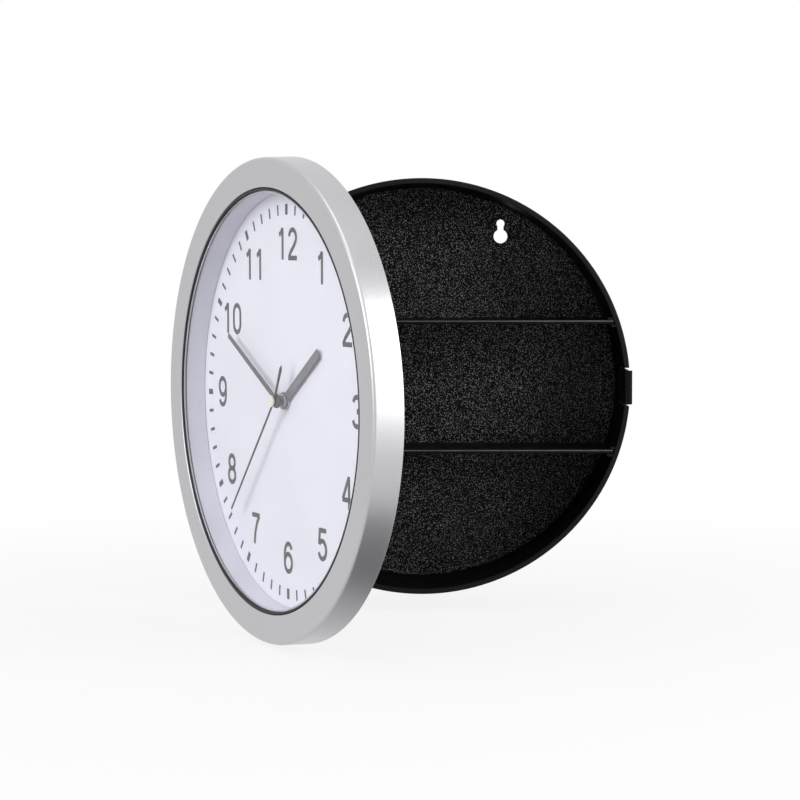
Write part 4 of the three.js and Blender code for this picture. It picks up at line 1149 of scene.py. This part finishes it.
# %% Dress the kept nodes
def dress(node, material, radius, segments=2):
    """Gives a node its finish, and softens its edges by a radius in millimetres."""
    obj = NODES[node]
    weld = obj.modifiers.new("weld", "WELD")
    weld.merge_threshold = 1e-6
    soften = obj.modifiers.new("soft edges", "BEVEL")
    soften.width = radius * MM
    soften.segments = segments
    soften.limit_method = "ANGLE"
    soften.angle_limit = SHARP
    even_shading(obj)
    obj.data.materials.clear()
    obj.data.materials.append(material)


dress("latch_tongue", latch_plastic, 0.3)
dress("upper_shelf", shelf_plastic, 0.3)
dress("lower_shelf", shelf_plastic, 0.3)
dress("hinge_pin", plated_steel, 0.2)
dress("rubber_washer", gasket_rubber, 0.15)
dress("movement_front", movement_plastic, 0.2)
dress("movement_case", movement_plastic, 0.3)
dress("mounting_bush", turned_brass, 0.12)
dress("bush_nut", plated_steel, 0.2)
dress("left_contact", plated_steel, 0.08)
dress("right_contact", plated_steel, 0.08)
dress("minute_wheel", grey_acetal, 0.04, 1)
for wheel in ("hour_wheel", "second_wheel", "motion_wheel", "third_wheel", "fifth_wheel"):
    dress(wheel, nylon, 0.04, 1)
dress("setting_knob", nylon, 0.2)
dress("rotor", magnet_grey, 0.05, 1)
dress("stator", plated_steel, 0.06)
dress("coil", winding, 0.06)
dress("circuit_board", green_board, 0.06)

# %% [markdown]
# ## Floor, lamps and background
# The object stands in a pale studio: a plain floor and nothing behind. Four soft lamps light
# it. The one at the right, low beside the box, draws the long highlight on the bezel's side
# wall and makes the grain sparkle. The strongest faces the dial from the left, and two weaker
# ones fill in. The background is white to the eye, to mirrors and through glass, and a weak
# grey light for everything else, so that it doesn't wash out the object. The floor glows in
# the same way. Under the lid it carries a painted shadow that only mirrors see: there it is
# dark to mirrors, which gives the bezel's lower side wall its depth.

# %% Floor
FLOOR_Z = -129.0 * MM
FOOT = (-0.03, -0.12, FLOOR_Z)
PAINTED_SHADOW_AT = (0.02, -0.264, FLOOR_Z)
WHITE = (1.0, 1.0, 1.0, 1.0)


def pale_floor(name):
    """A pale matt floor. Far from the object it is as white as the background, so that no
    horizon shows, and near it a share of its own shading stays, which keeps the shadow. Under
    the lid it is painted dark for mirrors only: a painted shadow."""
    f = Finish(name)
    to_eye = (f.ray("Camera") + f.ray("Transmission")).clamp()
    to_mirror = f.ray("Glossy")
    away = f.length(f.placed(FOOT))
    under = f.length(f.placed(PAINTED_SHADOW_AT))
    # Painted shadow: under the lid, mirrors see no glow and a paint darkened to dark grey.
    share = to_eye * f.span(away, 0.12, 0.6, 0.87, 1.0) + to_mirror * f.span(under, 0.04, 0.11)
    tone = f.blend(f.noise(400.0, 2.0), (0.82, 0.82, 0.82), (0.86, 0.86, 0.86))
    tone = f.blend(to_mirror * f.span(under, 0.03, 0.1, 0.9, 0.0), tone, (0.12, 0.12, 0.12))
    paint = f.node("ShaderNodeBsdfDiffuse", {0: tone})
    glow = f.node("ShaderNodeEmission", {0: WHITE, 1: 1.0})
    share = (share * f.before_matt()).clamp()
    return f.show(f.node("ShaderNodeMixShader", {0: share, 1: paint, 2: glow}))


corners = np.array([(x, y, FLOOR_Z) for x, y in ((-6, -4), (6, -4), (6, 14), (-6, 14))])
floor = finished("floor", opened(corners, [(0, 1, 2, 3)]))
floor.data.materials.append(pale_floor("floor_pale"))


# %% Lamps
def softbox(name, place_at, aim, width, height, watts):
    """An area lamp at a point, turned towards another."""
    data = bpy.data.lights.new(name, "AREA")
    data.shape = "RECTANGLE"
    data.size = width
    data.size_y = height
    data.energy = watts
    lamp = add(name, data)
    lamp.location = place_at
    lamp.rotation_euler = (Vector(aim) - Vector(place_at)).to_track_quat("-Z", "Y").to_euler()


AIM = (0.0, -0.08, 0.0)
softbox("right_softbox", (0.78, -0.6, 0.3), (0.0, -0.2, 0.02), 0.4, 0.8, 6.2)
softbox("left_softbox", (-1.2, -1.1, 0.6), AIM, 1.0, 1.0, 10.2)
softbox("front_softbox", (-0.35, -1.3, 1.0), AIM, 0.9, 0.9, 1.6)
softbox("top_softbox", (-0.2, -0.4, 1.4), AIM, 1.0, 1.0, 4.0)

# %% World
PLAIN_LIGHT = 0.2

sky = Finish("studio", bpy.data.worlds.new("studio"))
white_to = (sky.ray("Camera") + sky.ray("Transmission") + sky.ray("Glossy")).clamp()
strength = sky.span(white_to * sky.before_matt(), 0.0, 1.0, PLAIN_LIGHT, 1.0)
background = sky.node("ShaderNodeBackground", {"Color": WHITE, "Strength": strength})
bpy.context.scene.world = sky.show(background, "ShaderNodeOutputWorld")
bpy.context.scene.view_settings.view_transform = "Standard"
print("lamps", [lamp.name for lamp in bpy.data.lights])
